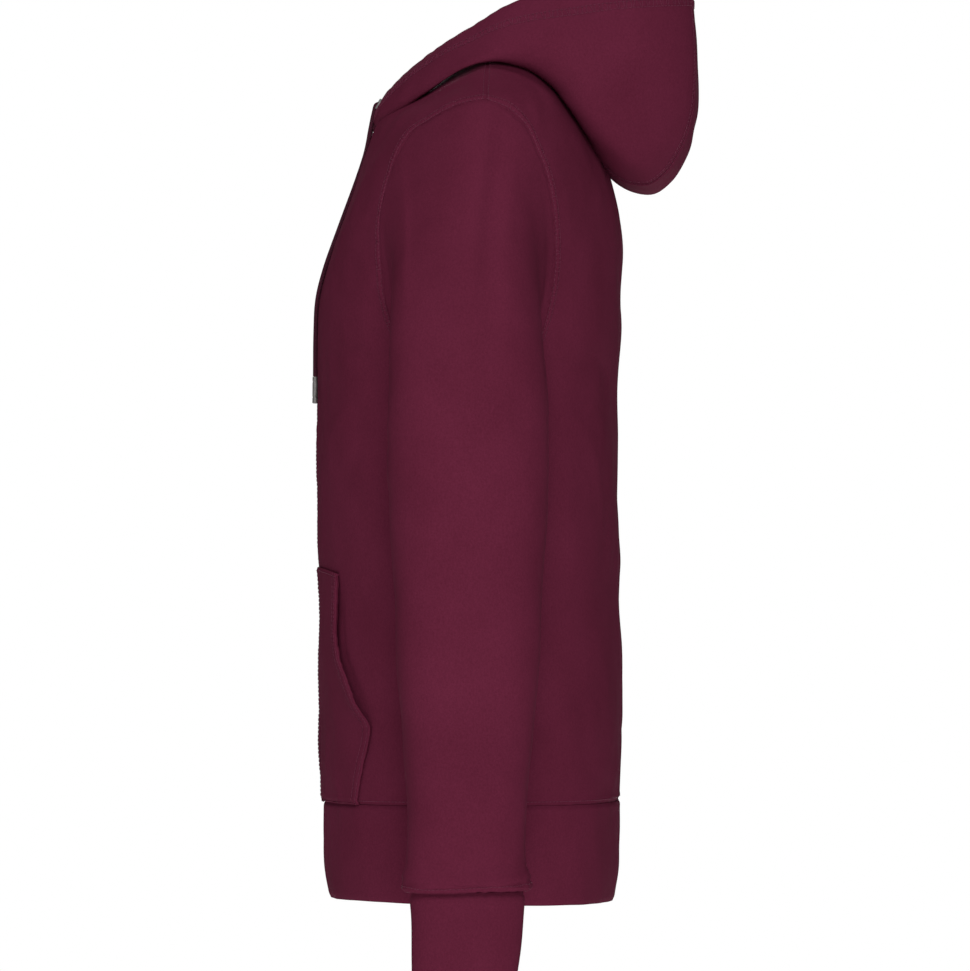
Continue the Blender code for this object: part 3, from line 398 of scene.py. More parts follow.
def tip_mesh(name):
    """A tube crimped on the cord's end."""
    profile = [(TIP_RADIUS * share, height * MM - TIP_LENGTH / 2) for share, height in TIP_OUTLINE]
    return turned_mesh(name, profile, TIP_SEGMENTS)


def eyelet_mesh(name):
    """A rolled ring with a flat flange against the cloth."""
    inner, outer = EYELET_RADIUS - EYELET_WIRE, EYELET_RADIUS + EYELET_WIRE
    low = -EYELET_WIRE
    profile = []
    for step in range(9):
        turn = math.pi * (1.0 - step / 8)
        profile.append((EYELET_RADIUS + EYELET_WIRE * math.cos(turn), EYELET_WIRE * 0.9 * math.sin(turn)))
    profile += [(outer, low * 0.6), (outer * 0.98, low), (inner * 1.02, low), (inner, low * 0.6)]
    return turned_mesh(name, profile, EYELET_SEGMENTS, closed=True)


def stand(place, way):
    """The place and turn of a piece whose own +Z points along a way."""
    turn = Vector((0.0, 0.0, 1.0)).rotation_difference(way).to_matrix().to_4x4()
    return Matrix.Translation(place) @ turn


def add_cord(side, sign):
    points = [Vector((sign * x, y, z)) * MM for x, y, z in CORD_POINTS]
    curve = bpy.data.curves.new("hood_cord_" + side, "CURVE")
    curve.dimensions = "3D"
    curve.bevel_depth = CORD_DIAMETER / 2
    curve.bevel_resolution = 5
    curve.resolution_u = 4
    curve.use_fill_caps = True
    spline = curve.splines.new("BEZIER")
    spline.bezier_points.add(len(points) - 1)
    for corner, point in zip(spline.bezier_points, points):
        corner.co = point
        corner.handle_left_type = "AUTO"
        corner.handle_right_type = "AUTO"
    cord = add_piece("hood_cord_" + side, curve, CORD, "drawcord_" + side)

    way = (points[-1] - points[-2]).normalized()
    name = "hood_cord_tip_" + side
    tip = add_piece(name, tip_mesh(name), TRIM_METAL, "cord_tip_" + side,
                    stand(points[-1] + way * (TIP_GAP + TIP_LENGTH / 2), way))


# ---- reading a wall's outer face as rows of points
class Patch:
    """The triangles of a CAD wall's outer face, and its walk as a grid of rows."""

    def __init__(self, node, left_half=False):
        work = bmesh.new()
        work.from_mesh(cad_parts[node].data)
        bmesh.ops.remove_doubles(work, verts=work.verts[:], dist=WELD)
        faces = max(self.patches(work), key=lambda patch: sum(face.calc_area() for face in patch))
        if left_half:
            faces = [face for face in faces if face.calc_center_median().x > 0.0]
        self.points = {v.index: v.co.copy() for face in faces for v in face.verts}
        self.triangles = [tuple(v.index for v in face.verts) for face in faces]
        self.facing = {tuple(v.index for v in face.verts): face.normal.copy() for face in faces}
        work.free()
        self.beside = {}
        for triangle in self.triangles:
            for i in range(3):
                edge = frozenset((triangle[i], triangle[(i + 1) % 3]))
                self.beside.setdefault(edge, []).append(triangle)
        self.border = {}
        for edge, around in self.beside.items():
            if len(around) == 1:
                a, b = edge
                self.border.setdefault(a, []).append(b)
                self.border.setdefault(b, []).append(a)

    @staticmethod
    def patches(work):
        """Groups of faces that meet at soft angles, in the faces' own order on every run."""
        left = dict.fromkeys(work.faces)
        found = []
        while left:
            first = left.popitem()[0]
            patch, edge_of_patch = [first], [first]
            while edge_of_patch:
                face = edge_of_patch.pop()
                for edge in face.edges:
                    for other in edge.link_faces:
                        if other in left and other.normal.angle(face.normal, 0.0) < PATCH_ANGLE:
                            del left[other]
                            patch.append(other)
                            edge_of_patch.append(other)
            found.append(patch)
        return found

    def nearest(self, place):
        return min(self.border, key=lambda v: (self.points[v] - Vector(place)).length)

    def border_walk(self, start, second):
        walk = [start, second]
        while True:
            ahead = [v for v in self.border[walk[-1]] if v != walk[-2]]
            if not ahead or ahead[0] == start:
                return walk
            walk.append(ahead[0])

    def length(self, walk):
        return sum((self.points[b] - self.points[a]).length for a, b in zip(walk, walk[1:]))

    def across(self, a, b, used):
        """The unused triangle on the edge from a to b, and its third corner."""
        for triangle in self.beside[frozenset((a, b))]:
            if triangle not in used:
                return triangle, next(v for v in triangle if v not in (a, b))
        return None, None

    def strip(self, row, above, used):
        """The row above this one, given what lies above its first corner, or None."""
        taken = set(used)
        result = [above]
        for a, b in zip(row, row[1:]):
            triangle, third = self.across(a, b, taken)
            if triangle is None:
                return None, used
            taken.add(triangle)
            if third == result[-1]:
                other, corner = self.across(b, third, taken)
            elif frozenset((a, third)) in self.beside:
                other, corner = self.across(a, third, taken)
                if corner != result[-1]:
                    return None, used
                corner = third
            if other is None:
                return None, used
            taken.add(other)
            result.append(corner)
        return result, taken

    def open_rows(self, start, stop):
        """Rows from the border between the two places, up to the far border."""
        first, last = self.nearest(start), self.nearest(stop)
        walks = []
        for second in self.border[first]:
            walk = self.border_walk(first, second)
            walks.append(walk[:walk.index(last) + 1])
        row = min(walks, key=self.length)
        side = self.border_walk(first, next(v for v in self.border[first] if v != row[1]))
        rows, used = [row], set()
        for above in side[1:]:
            found, used = self.strip(rows[-1], above, used)
            if found is None:
                break
            rows.append(found)
        return [[self.points[v] for v in row] for row in rows]

    def ring_rows(self):
        """Rings from the highest border down to the other, started towards the garment's back."""
        top = max(self.border, key=lambda v: tuple(self.points[v].zyx))
        row = self.border_walk(top, max(self.border[top], key=lambda v: self.points[v].y))
        row.append(row[0])
        rows, used = [row], set()
        while True:
            triangle, third = self.across(rows[-1][0], rows[-1][1], used)
            if triangle is None:
                break
            beyond = used | {triangle}
            tries = [third] + [self.across(corner, third, beyond)[1] for corner in rows[-1][1::-1]]
            best, cost = None, math.inf
            for above in tries:
                if above is None:
                    continue
                found, taken = self.strip(rows[-1], above, used)
                if found is None or found[-1] != found[0]:
                    continue
                gaps = [(self.points[a] - self.points[b]).length for a, b in zip(found, rows[-1])]
                if sum(gaps) < cost:
                    best, cost, best_taken = found, sum(gaps), taken
            if best is None:
                break
            rows.append(best)
            used = best_taken
        return [[self.points[v] for v in row[:-1]] for row in rows]

    def outward(self, point):
        """The outward normal of the triangle nearest to a point."""
        near = min(self.triangles, key=lambda t: (sum((self.points[v] for v in t), Vector()) / 3
                                                   - point).length)
        return self.facing[near]


# ---- smooth grids
def slope_matrix(knots):
    """The slopes at the knots of values given there, as a linear operator (three-point rule)."""
    n = len(knots)
    steps = np.diff(knots)
    result = np.zeros((n, n))
    for i in range(1, n - 1):
        before, after = steps[i - 1], steps[i]
        total = before + after
        result[i, i - 1] = -after / (before * total)
        result[i, i + 1] = before / (after * total)
        result[i, i] = -result[i, i - 1] - result[i, i + 1]
    for end, near, sign in ((0, 1, 1), (n - 1, n - 2, -1)):
        step = abs(knots[end] - knots[near])
        result[end] = -0.5 * result[near]
        result[end, near] += 1.5 * sign / step
        result[end, end] -= 1.5 * sign / step
    return result


def hermite(t):
    """The weights of a smooth curve's near value and of the slopes at its two ends."""
    return (1 + 2 * t) * (1 - t) ** 2, t * (1 - t) ** 2, t * t * (t - 1)


def curve_matrix(knots, places):
    """The values at the places of smooth curves through values given at the knots."""
    slopes = slope_matrix(knots)
    result = np.zeros((len(places), len(knots)))
    index = np.clip(np.searchsorted(knots, places) - 1, 0, len(knots) - 2)
    for row, (i, place) in enumerate(zip(index, places)):
        span = knots[i + 1] - knots[i]
        near, leaving, arriving = hermite((place - knots[i]) / span)
        result[row, i] += near
        result[row, i + 1] += 1 - near
        result[row] += (slopes[i] * leaving + slopes[i + 1] * arriving) * span
    return result


def running(steps):
    """The running total of the steps, from 0."""
    return np.concatenate([[0.0], np.cumsum(steps)])


def lengths_along(places):
    return running(np.linalg.norm(np.diff(places, axis=0), axis=1))


def read_at(length, lengths, values):
    """Three-part values given along a line, read at one length."""
    return np.array([np.interp(length, lengths, values[:, k]) for k in range(3)])


def fine_places(length, step, low_edge, high_edge):
    """Places from 0 to a length, about a step apart and closer beside a seam."""
    low = EDGE_PLACES if low_edge else [0.0]
    high = [length - place for place in (EDGE_PLACES if high_edge else [0.0])][::-1]
    if low[-1] + step > high[0]:
        return np.linspace(0.0, length, max(3, int(length / step) + 1))
    count = max(2, round((high[0] - low[-1]) / step) + 1)
    middle = list(np.linspace(low[-1], high[0], count))
    return np.array(low[:-1] + middle + high[1:])


def fine_points(rows, step, ring=False, edges=ALL_EDGES):
    """The rows of points read again as smooth curves, about a step apart both ways."""
    points = np.array([[tuple(point) for point in row] for row in rows])
    if ring:
        points = np.concatenate([points[:, -WRAP:], points, points[:, :WRAP + 1]], axis=1)
    down = np.linalg.norm(np.diff(points, axis=0), axis=2).mean(axis=1)
    along = np.linalg.norm(np.diff(points, axis=1), axis=2).mean(axis=0)
    row_knots = running(down)
    column_knots = running(along)
    row_places = fine_places(row_knots[-1], step, edges[0], edges[1])
    if ring:
        start, stop = column_knots[WRAP], column_knots[-WRAP - 1]
        count = round((stop - start) / step)
        column_places = start + (stop - start) * np.arange(count) / count
    else:
        column_places = fine_places(column_knots[-1], step, edges[2], edges[3])
    by_row = curve_matrix(row_knots, row_places)
    by_column = curve_matrix(column_knots, column_places)
    return np.einsum("ai,ijk,bj->abk", by_row, points, by_column)


def cells(rows, columns, ring=False):
    """The corners of each cell of a grid of points, row by row."""
    index = np.arange(rows * columns).reshape(rows, columns)
    right = np.roll(index, -1, axis=1) if ring else index[:, 1:]
    left = index if ring else index[:, :-1]
    return np.stack([left[:-1], right[:-1], right[1:], left[1:]], axis=-1).reshape(-1, 4)


class Grid:
    """A fine grid of points on a piece's outer face, with heights to be added to it."""

    def __init__(self, points, outward, ring=False, split_centre=False):
        """outward is the way that the outer face looks at the middle of the grid."""
        self.points = points
        self.ring = ring
        self.split_centre = split_centre
        self.sign = 1.0
        middle = tuple(size // 2 for size in points.shape[:2])
        if np.dot(self.normals()[middle], outward) < 0:
            self.sign = -1.0
        self.height = np.zeros(points.shape[:2])

    def normals(self):
        points = self.points
        if self.ring:
            along = np.roll(points, -1, axis=1) - np.roll(points, 1, axis=1)
        else:
            along = np.gradient(points, axis=1)
        across = np.gradient(points, axis=0)
        normal = np.cross(along, across) * self.sign
        if self.split_centre:
            centre = np.abs(points[:, 0, 0]) < CENTRE_WELD
            normal[centre, 0, 0] = 0.0
        return normal / np.maximum(np.linalg.norm(normal, axis=2, keepdims=True), TINY_AREA)

    def distance(self, edge):
        """Each point's distance along the grid from its first or last row or column."""
        axis = 0 if edge in ("first", "last") else 1
        steps = np.linalg.norm(np.diff(self.points, axis=axis), axis=2)
        zero = np.zeros_like(steps[:1] if axis == 0 else steps[:, :1])
        total = np.concatenate([zero, np.cumsum(steps, axis=axis)], axis=axis)
        if edge in ("last", "end"):
            total = (total[-1:] if axis == 0 else total[:, -1:]) - total
        return total

    def settle(self):
        """Moves the points out by the heights gathered so far."""
        self.points = self.points + self.normals() * self.height[..., None]
        self.height = np.zeros(self.points.shape[:2])

    def line(self, edge, inset):
        """Points and normals a distance in from an edge, along the whole edge."""
        axis = 0 if edge in ("first", "last") else 1
        points, normals = self.points, self.normals()
        distance = self.distance(edge)
        if axis == 0:
            points, normals, distance = (a.swapaxes(0, 1) for a in (points, normals, distance))
        if edge in ("last", "end"):
            points, normals, distance = (a[:, ::-1] for a in (points, normals, distance))
        places, ways = [], []
        for row, way, along in zip(points, normals, distance):
            i = int(np.clip(np.searchsorted(along, inset) - 1, 0, len(along) - 2))
            t = (inset - along[i]) / max(along[i + 1] - along[i], TINY)
            places.append(row[i] * (1 - t) + row[i + 1] * t)
            ways.append(way[i] * (1 - t) + way[i + 1] * t)
        if self.ring and axis == 0:
            places.append(places[0])
            ways.append(ways[0])
        return np.array(places), np.array(ways)

    def mesh(self, name, thick):
        """A closed wall of the given thickness behind the points."""
        outer = self.points
        inner = outer - self.normals() * thick
        rows, columns = outer.shape[:2]
        total = rows * columns
        corners = np.concatenate([outer.reshape(-1, 3), inner.reshape(-1, 3)])
        index = np.arange(total).reshape(rows, columns)
        quads = cells(rows, columns, self.ring)
        if self.sign < 0:
            quads = quads[:, ::-1]
        faces = [quads, quads[:, ::-1] + total]
        if self.ring:
            loops = [list(index[0]) + [index[0][0]], list(index[-1][::-1]) + [index[-1][-1]]]
        else:
            loops = [list(index[0]) + list(index[1:, -1]) + list(index[-1, -2::-1])
                     + list(index[-2::-1, 0])]
        for loop in loops:
            loop = np.array(loop)
            rim = np.stack([loop[1:], loop[:-1], loop[:-1] + total, loop[1:] + total], axis=-1)
            faces.append(rim[:, ::-1] if self.sign < 0 else rim)
        mesh = bpy.data.meshes.new(name)
        mesh.from_pydata(corners.tolist(), [], np.concatenate(faces).tolist())
        mesh.validate()
        mesh.shade_smooth()
        mesh.set_sharp_from_angle(angle=SHARP_ANGLE)
        return mesh


# ---- folds and seams, with their sizes in millimetres
def bell(distance, width):
    return np.exp(-(distance / width) ** 2)


def roll(grid, edge, depth=0.9, width=2.6):
    """The cloth turns in towards a seam."""
    grid.height -= depth * MM * bell(grid.distance(edge), width * MM)


def ridge(grid, edge, inset, height, width):
    """A raised band at a distance from an edge, or a groove if height is below 0."""
    grid.height += height * MM * bell(grid.distance(edge) - inset * MM, width * MM)


def ripple(grid, edge, seed, height=0.35, reach=9.0, pitch=11.0):
    """Uneven puckers that a row of stitches draws up beside a seam."""
    chance = np.random.default_rng(seed)
    along = grid.distance("start" if edge in ("first", "last") else "first")
    waves = np.zeros_like(along)
    for share in PUCKER_PITCHES:
        waves += np.sin(along * 2 * math.pi / (pitch * MM * share) + chance.uniform(0, PHASES))
    grid.height += height * MM / 3 * waves * bell(grid.distance(edge), reach * MM)


def step_up(grid, edge, inset, height, width=1.2):
    """Doubled cloth from an edge to a distance in from it."""
    t = np.clip((inset * MM - grid.distance(edge)) / (width * MM), -1.0, 1.0)
    grid.height += height * MM * (0.5 + 0.5 * np.sin(t * math.pi / 2))


def unrest(grid):
    """The cloth's broad uneven surface, the same field over every piece."""
    chance = np.random.default_rng(UNREST_SEED)
    for scale, height in UNREST:
        for _ in range(UNREST_WAVES):
            way = chance.normal(size=3)
            way *= 2 * math.pi / scale / np.linalg.norm(way)
            phase = chance.uniform(0, PHASES)
            grid.height += height / UNREST_SHARE * np.sin(grid.points @ way + phase)


def crease(grid, path, width, height, axes):
    """A soft ridge (or a trough, if height is below 0) along a path seen along one axis."""
    flat = grid.points[..., list(axes)]
    path = np.array(path) * MM
    best = np.full(flat.shape[:2], np.inf)
    share = np.zeros(flat.shape[:2])
    lengths = np.linalg.norm(np.diff(path, axis=0), axis=1)
    total, done = lengths.sum(), 0.0
    for a, b, length in zip(path, path[1:], lengths):
        t = np.clip(((flat - a) @ (b - a)) / length ** 2, 0, 1)
        gap = np.linalg.norm(flat - a - t[..., None] * (b - a), axis=-1)
        nearer = gap < best
        best = np.where(nearer, gap, best)
        share = np.where(nearer, (done + t * length) / total, share)
        done += length
    fade = np.clip(np.sin(math.pi * np.clip(share, 0.0, 1.0)), 0, 1) ** 0.6
    taper = 0.55 + 0.45 * fade
    grid.height += height * MM * fade * bell(best, width * MM * taper)


# ---- sewing
STITCH_FACES = cells(4, 4, ring=True).tolist() + [[3, 2, 1, 0], [12, 13, 14, 15]]


class Sewing:
    """Stitches gathered into one mesh."""

    def __init__(self):
        self.corners = []
        self.faces = []

    def stitch(self, start, stop, out, radius):
        """A spindle of thread from start to stop that bows out of the cloth."""
        way = stop - start
        length = np.linalg.norm(way)
        if length < WELD:
            return
        way = way / length
        side = np.cross(way, out)
        side = side / max(np.linalg.norm(side), TINY)
        up = np.cross(side, way)
        base = len(self.corners)
        for share, size, lift in STITCH_RINGS:
            centre = start + way * length * share + up * radius * lift
            self.corners += [centre + (side * a + up * b) * radius * size for a, b in STITCH_CORNERS]
        self.faces += [[base + i for i in face] for face in STITCH_FACES]

    def row(self, line, lift):
        for start, stop, out in dashes(*line):
            self.stitch(start + out * lift, stop + out * lift, out, THREAD_RADIUS)

    def ladder(self, low, high):
        """Looper threads that cross between two rows, slanting one way and then the other."""
        places, ways = high
        for i, (start, stop, out) in enumerate(dashes(*low)):
            middle = (start + stop) / 2
            j = int(np.argmin(np.linalg.norm(places - middle, axis=1)))
            slant = (stop - start) * (LOOPER_SLANT if i % 2 else -LOOPER_SLANT)
            self.stitch(middle + out * LOOPER_LIFT, places[j] + slant + ways[j] * LOOPER_LIFT, out,
                        LOOPER_RADIUS)

    def add(self, name):
        mesh = bpy.data.meshes.new(name)
        mesh.from_pydata([tuple(c) for c in self.corners], [], self.faces)
        mesh.shade_smooth()
        add_piece(name, mesh, THREAD)


def dashes(places, ways):
    """Stitches along a line, a pitch apart, as (start, stop, normal)."""
    lengths = lengths_along(places)
    for i in range(int((lengths[-1] - STITCH_LENGTH) / STITCH_PITCH) + 1):
        start = i * STITCH_PITCH + (STITCH_PITCH - STITCH_LENGTH) / 2
        out = read_at(start + STITCH_LENGTH / 2, lengths, ways)
        out = out / max(np.linalg.norm(out), TINY)
        yield read_at(start, lengths, places), read_at(start + STITCH_LENGTH, lengths, places), out


# ---- the garment's pieces as grids
def mirror(points):
    return points * np.array([-1.0, 1.0, 1.0])


def grids_from(patch, rows, step, edges=ALL_EDGES, pair=True, **form):
    """The left piece of a pair as a grid and the right one as its mirror image, or one grid."""
    points = fine_points(rows, step, form.get("ring", False), edges)
    middle = tuple(size // 2 for size in points.shape[:2])
    outward = np.array(patch.outward(Vector(points[middle])))
    if not pair:
        return Grid(points, outward)
    return {"left": Grid(points, outward, **form), "right": Grid(mirror(points), mirror(outward), **form)}


def sheet_grids(node, start, stop, step, pair=True):
    patch = Patch(node + "_left" if pair else node)
    return grids_from(patch, patch.open_rows(start, stop), step, pair=pair)


def ring_grids(node, step):
    patch = Patch(node + "_left")
    return grids_from(patch, patch.ring_rows(), step, ring=True)


def back_halves():
    """The back as two grids that meet on the centre line, because the neck parts its upper rows."""
    lo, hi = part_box("back")
    patch = Patch("back", left_half=True)
    rows = patch.open_rows((0.0, hi.y, lo.z), (hi.x, SIDE_SEAM_Y, lo.z))
    return grids_from(patch, rows, PANEL_STEP, (True, True, False, True), split_centre=True)


def make_grids():
    lo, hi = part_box("front_left")
    pairs = {
        "front": sheet_grids("front", (ZIP_HALF_GAP, lo.y, lo.z), (hi.x, SIDE_SEAM_Y, lo.z), PANEL_STEP),
        "back": back_halves(),
        "sleeve": ring_grids("sleeve", PANEL_STEP),
        "cuff": ring_grids("cuff", SMALL_STEP),
        "hood": sheet_grids("hood", HOOD_FRONT_NECK, HOOD_FRONT_RIM, SMALL_STEP),
    }
    grids = {name + "_" + side: grid for name, pair in pairs.items() for side, grid in pair.items()}
    grids["hood_centre"] = sheet_grids("hood_centre", HOOD_BACK_NECK, HOOD_BACK_RIM, SMALL_STEP, pair=False)
    lo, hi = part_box("hem_band")
    grids["hem_band"] = sheet_grids("hem_band", (ZIP_HALF_GAP, lo.y, lo.z), (-ZIP_HALF_GAP, lo.y, lo.z),
                                    SMALL_STEP, pair=False)
    for side, _ in SIDES:
        for name, edge in (("sleeve_", "last"), ("cuff_", "first")):
            grid = grids[name + side]
            grid.points[..., 2] += WRIST_RAISE * bell(grid.distance(edge), WRIST_REACH)
    return grids


# ---- folds, seams and puckers
# What lies beside the edges of each piece: the shape, the edge, a pucker's seed, and sizes.
PANEL_SEAMS = [(roll, "first", 1.2, 1.9), (roll, "last", 0.6, 2.0), (roll, "end", 0.7, 2.0),
               (ridge, "first", 3.6, 0.45, 1.8), (ridge, "end", 4.2, 0.6, 3.0)]
HOOD_RIM = [(step_up, "end", HOOD_HEM, 0.7), (roll, "end", 0.8, 2.2)]
SEAMS = {
    "front": PANEL_SEAMS + [(ripple, "end", 11), (ripple, "first", 13, 0.3, 12, 15),
                            (ridge, "start", 3.6, 0.45, 3.4), (ripple, "start", 14, 0.35, 9, 13)],
    "back": PANEL_SEAMS + [(ripple, "end", 12), (ripple, "first", 13, 0.3, 12, 15)],
    "sleeve": [(roll, "first", 0.7, 2.0), (roll, "last", 1.4, 2.2), (ridge, "last", 10.6, -1.7, 1.5),
               (ridge, "last", 14.4, 0.5, 1.9), (ridge, "last", 5.6, 0.9, 3.0),
               (ripple, "last", 15, 0.55, 16, 10), (ripple, "first", 16, 0.3, 9, 12)],
    "cuff": [(roll, "first", 1.8, 4.5), (roll, "last", 0.9, 2.4), (ripple, "first", 17, 0.3, 12, 9)],
    "hood": [(roll, "start"), (roll, "last", 1.2, 1.7), (ridge, "last", 3.6, 0.6, 1.9),
             (ridge, "last", 8.4, 0.35, 2.2), (ripple, "last", 18, 0.3), *HOOD_RIM,
             (ripple, "end", 19, 0.35, 22, 14)],
    "hood_centre": [(roll, "start"), (roll, "first", 1.2, 1.7), (ridge, "first", 3.6, 0.6, 1.9),
                    (roll, "last", 1.2, 1.7), (ridge, "last", 3.6, 0.6, 1.9), *HOOD_RIM],
    "hem_band": [(roll, "first"), (roll, "start"), (roll, "end"), (roll, "last", 1.3, 1.8),
                 (ripple, "last", 20, 0.2, 10, 16), (ripple, "first", 21, 0.12, 9, 30)],
}


def shape_seams(grids):
    for name, grid in grids.items():
        for shape, edge, *sizes in SEAMS[name.removesuffix("_left").removesuffix("_right")]:
            shape(grid, edge, *sizes)


SIDE = (1, 2)              # a crease's path as (Y, Z), seen from the side
FACE = (0, 2)              # as (X, Z), seen from the front or back

# Soft creases: the pieces they cross, the path in millimetres, width, height and how it is seen.
CREASES = [
    # the soft ridge and hollow on the chest ahead of the armhole
    ("front", [(-62, -70), (-75, -93), (-88, -104), (-100, -130), (-112, -158), (-120, -170)],
     9.0, 1.5, SIDE),
    ("front", [(-70, -96), (-80, -120), (-87, -146), (-93, -172), (-99, -196)], 8.0, -0.9, SIDE),
    # short pulls at the front of the armhole
    ("front", [(-86, -139), (-91, -144), (-97, -149)], 3.5, -1.0, SIDE),
    ("front", [(-79, -155), (-85, -163), (-92, -168)], 3.2, -1.0, SIDE),
    ("front", [(-80, -196), (-94, -204), (-110, -210)], 6.0, 0.7, SIDE),
    # drags that run from each underarm across the chest
    ("front_left", [(172, -262), (150, -252), (122, -250), (96, -255)], 8.0, -1.3, FACE),
    ("front_left", [(170, -284), (148, -292), (120, -308), (98, -330)], 10.0, 1.2, FACE),
    ("front_left", [(168, -312), (152, -334), (134, -366)], 9.0, -0.9, FACE),
    ("front_right", [(-172, -255), (-146, -243), (-112, -246)], 9.0, -1.2, FACE),
    ("front_right", [(-170, -280), (-140, -296), (-104, -324)], 9.0, 1.3, FACE),
    ("front_right", [(-166, -322), (-154, -352), (-147, -392)], 8.0, -0.8, FACE),
    # the zip's edges standing out behind the cord tips
    ("front_left", [(8, -200), (8, -250), (8, -285), (8, -330)], 6.5, 1.5, FACE),
    ("front_right", [(-8, -205), (-8, -250), (-8, -285), (-8, -325)], 6.5, 1.5, FACE),
    # the body settling on the hem band
    ("front_left", [(60, -566), (84, -584), (118, -592)], 9.0, 0.8, FACE),
    ("front_right", [(-48, -548), (-70, -578), (-96, -590)], 8.0, 0.7, FACE),
    ("back", [(-150, -560), (-110, -582), (-60, -588)], 12.0, 1.4, FACE),
    ("back", [(40, -572), (86, -586), (142, -574)], 10.0, 1.1, FACE),
    ("back", [(-30, -548), (10, -560), (46, -556)], 9.0, -0.9, FACE),
    # drags across the back from the underarms, and a hollow below the hood
    ("back", [(-168, -270), (-138, -268), (-98, -284), (-60, -310)], 11.0, -1.5, FACE),
    ("back", [(-166, -300), (-136, -318), (-108, -350)], 11.0, 1.3, FACE),
    ("back", [(170, -262), (130, -256), (84, -268)], 10.0, -1.4, FACE),
    ("back", [(168, -296), (140, -322), (120, -364), (112, -400)], 10.0, 1.3, FACE),
    ("back", [(-74, -186), (-20, -204), (38, -200), (82, -180)], 16.0, -1.3, FACE),
    ("back", [(-96, -404), (-30, -424), (44, -416)], 18.0, 1.1, FACE),
    # the bend of the sleeves, deepest on the side towards the body
    ("sleeve_left", [(-92, -318), (-70, -326), (-40, -324)], 7.0, -1.0, SIDE),
    ("sleeve_left", [(-88, -352), (-62, -346), (-34, -356)], 8.0, 0.8, SIDE),
    ("sleeve_left", [(46, -296), (24, -312), (2, -318)], 8.0, -0.7, SIDE),
    ("sleeve_left", [(-82, -404), (-58, -414), (-30, -410)], 9.0, -0.6, SIDE),
    ("sleeve_right", [(-92, -300), (-64, -312), (-30, -308)], 8.0, -1.1, SIDE),
    ("sleeve_right", [(-88, -338), (-58, -336), (-20, -348)], 8.0, 0.8, SIDE),
    ("sleeve_right", [(50, -330), (28, -340), (-4, -338)], 9.0, -0.8, SIDE),
    ("sleeve_right", [(44, -420), (20, -430), (-6, -424)], 9.0, 0.7, SIDE),
    ("sleeve_left", [(212, -240), (232, -268), (246, -300)], 9.0, -1.3, FACE),
    ("sleeve_left", [(204, -268), (218, -300), (226, -340)], 8.0, 1.0, FACE),
    ("sleeve_right", [(-210, -246), (-228, -280), (-238, -322)], 9.0, -1.3, FACE),
    ("sleeve_right", [(-200, -276), (-212, -304), (-217, -332)], 8.0, 1.0, FACE),
    # cloth pushed down on the cuffs
    ("sleeve_left", [(-52, -640), (-40, -652), (-20, -656)], 5.0, -0.9, SIDE),
    ("sleeve_left", [(22, -634), (12, -648), (-8, -650)], 5.0, -0.7, SIDE),
    ("sleeve_right", [(-46, -630), (-26, -648), (-6, -650)], 5.0, -0.9, SIDE),
    # the hood falling over the back of the neck
    ("hood_left", [(30, -14), (62, -40), (92, -74)], 12.0, -1.2, SIDE),
    ("hood_right", [(20, -6), (58, -30), (100, -60)], 12.0, -1.3, SIDE),
    ("hood_left", [(74, 26), (110, 10), (140, -20)], 16.0, 0.9, SIDE),
    ("hood_right", [(66, 20), (100, 0), (136, -28)], 14.0, 0.9, SIDE),
    ("hood_centre", [(-30, -50), (-6, -70), (24, -76)], 10.0, -1.2, FACE),
]


def shape_folds(grids):
    for side, sign in SIDES:
        mouth = [(sign * (x + MOUTH_GAP), z) for z, x in POCKET_EDGE[2:]]
        crease(grids["front_" + side], mouth, *MOUTH_HOLLOW, FACE)
    for name, grid in grids.items():
        unrest(grid)
        for piece, path, width, height, axes in CREASES:
            if name.startswith(piece):
                crease(grid, path, width, height, axes)


# ---- the pockets
def smooth_value(key, keys, values):
    """A value between those of a rising table, on curves that don't overshoot."""
    key = min(max(key, keys[0]), keys[-1])
    i = min(int(np.searchsorted(keys, key, side="right")) - 1, len(keys) - 2)
    rises = [(values[j + 1] - values[j]) / (keys[j + 1] - keys[j]) for j in range(len(keys) - 1)]

    def slope(j):
        if j == 0 or j == len(keys) - 1:
            return rises[min(j, len(rises) - 1)]
        a, b = rises[j - 1], rises[j]
        return 0.0 if a * b <= 0 else 2 * a * b / (a + b)

    span = keys[i + 1] - keys[i]
    near, leaving, arriving = hermite((key - keys[i]) / span)
    bend = slope(i) * leaving + slope(i + 1) * arriving
    return values[i] * near + values[i + 1] * (1 - near) + bend * span


def surface_tree(grid):
    faces = cells(*grid.points.shape[:2])
    return BVHTree.FromPolygons(grid.points.reshape(-1, 3).tolist(), faces.tolist())


def pocket_grid(front, sign):
    """The pocket's points, read off the front's finished face and moved out from it."""
    tree = surface_tree(front)
    heights, widths = zip(*POCKET_EDGE)
    z_places = fine_places((POCKET_TOP - heights[0]) * MM, SMALL_STEP, True, True) / MM + heights[0]
    shares = fine_places(POCKET_MEAN * MM, SMALL_STEP, True, True) / (POCKET_MEAN * MM)
    rows = []
    for z in z_places:
        width = (smooth_value(z, heights, widths) - POCKET_INNER) * MM
        drop = POCKET_SAG * MM * max(0.0, 1.0 - (POCKET_TOP - z) / SAG_REACH)
        row = []
        for share in shares:
            x = sign * (POCKET_INNER * MM + width * share)
            place, normal, _, _ = tree.ray_cast(Vector((x, -RAY_START, z * MM)), Vector((0.0, 1.0, 0.0)))
            if normal.y > 0:
                normal = -normal
            sag = drop * max(0.0, (share - SAG_START) / (1.0 - SAG_START)) ** 2
            row.append(tuple(place + normal * POCKET_LIFT - Vector((0.0, 0.0, sag))))
        rows.append(row)
    return Grid(np.array(rows), np.array((0.0, -1.0, 0.0)))


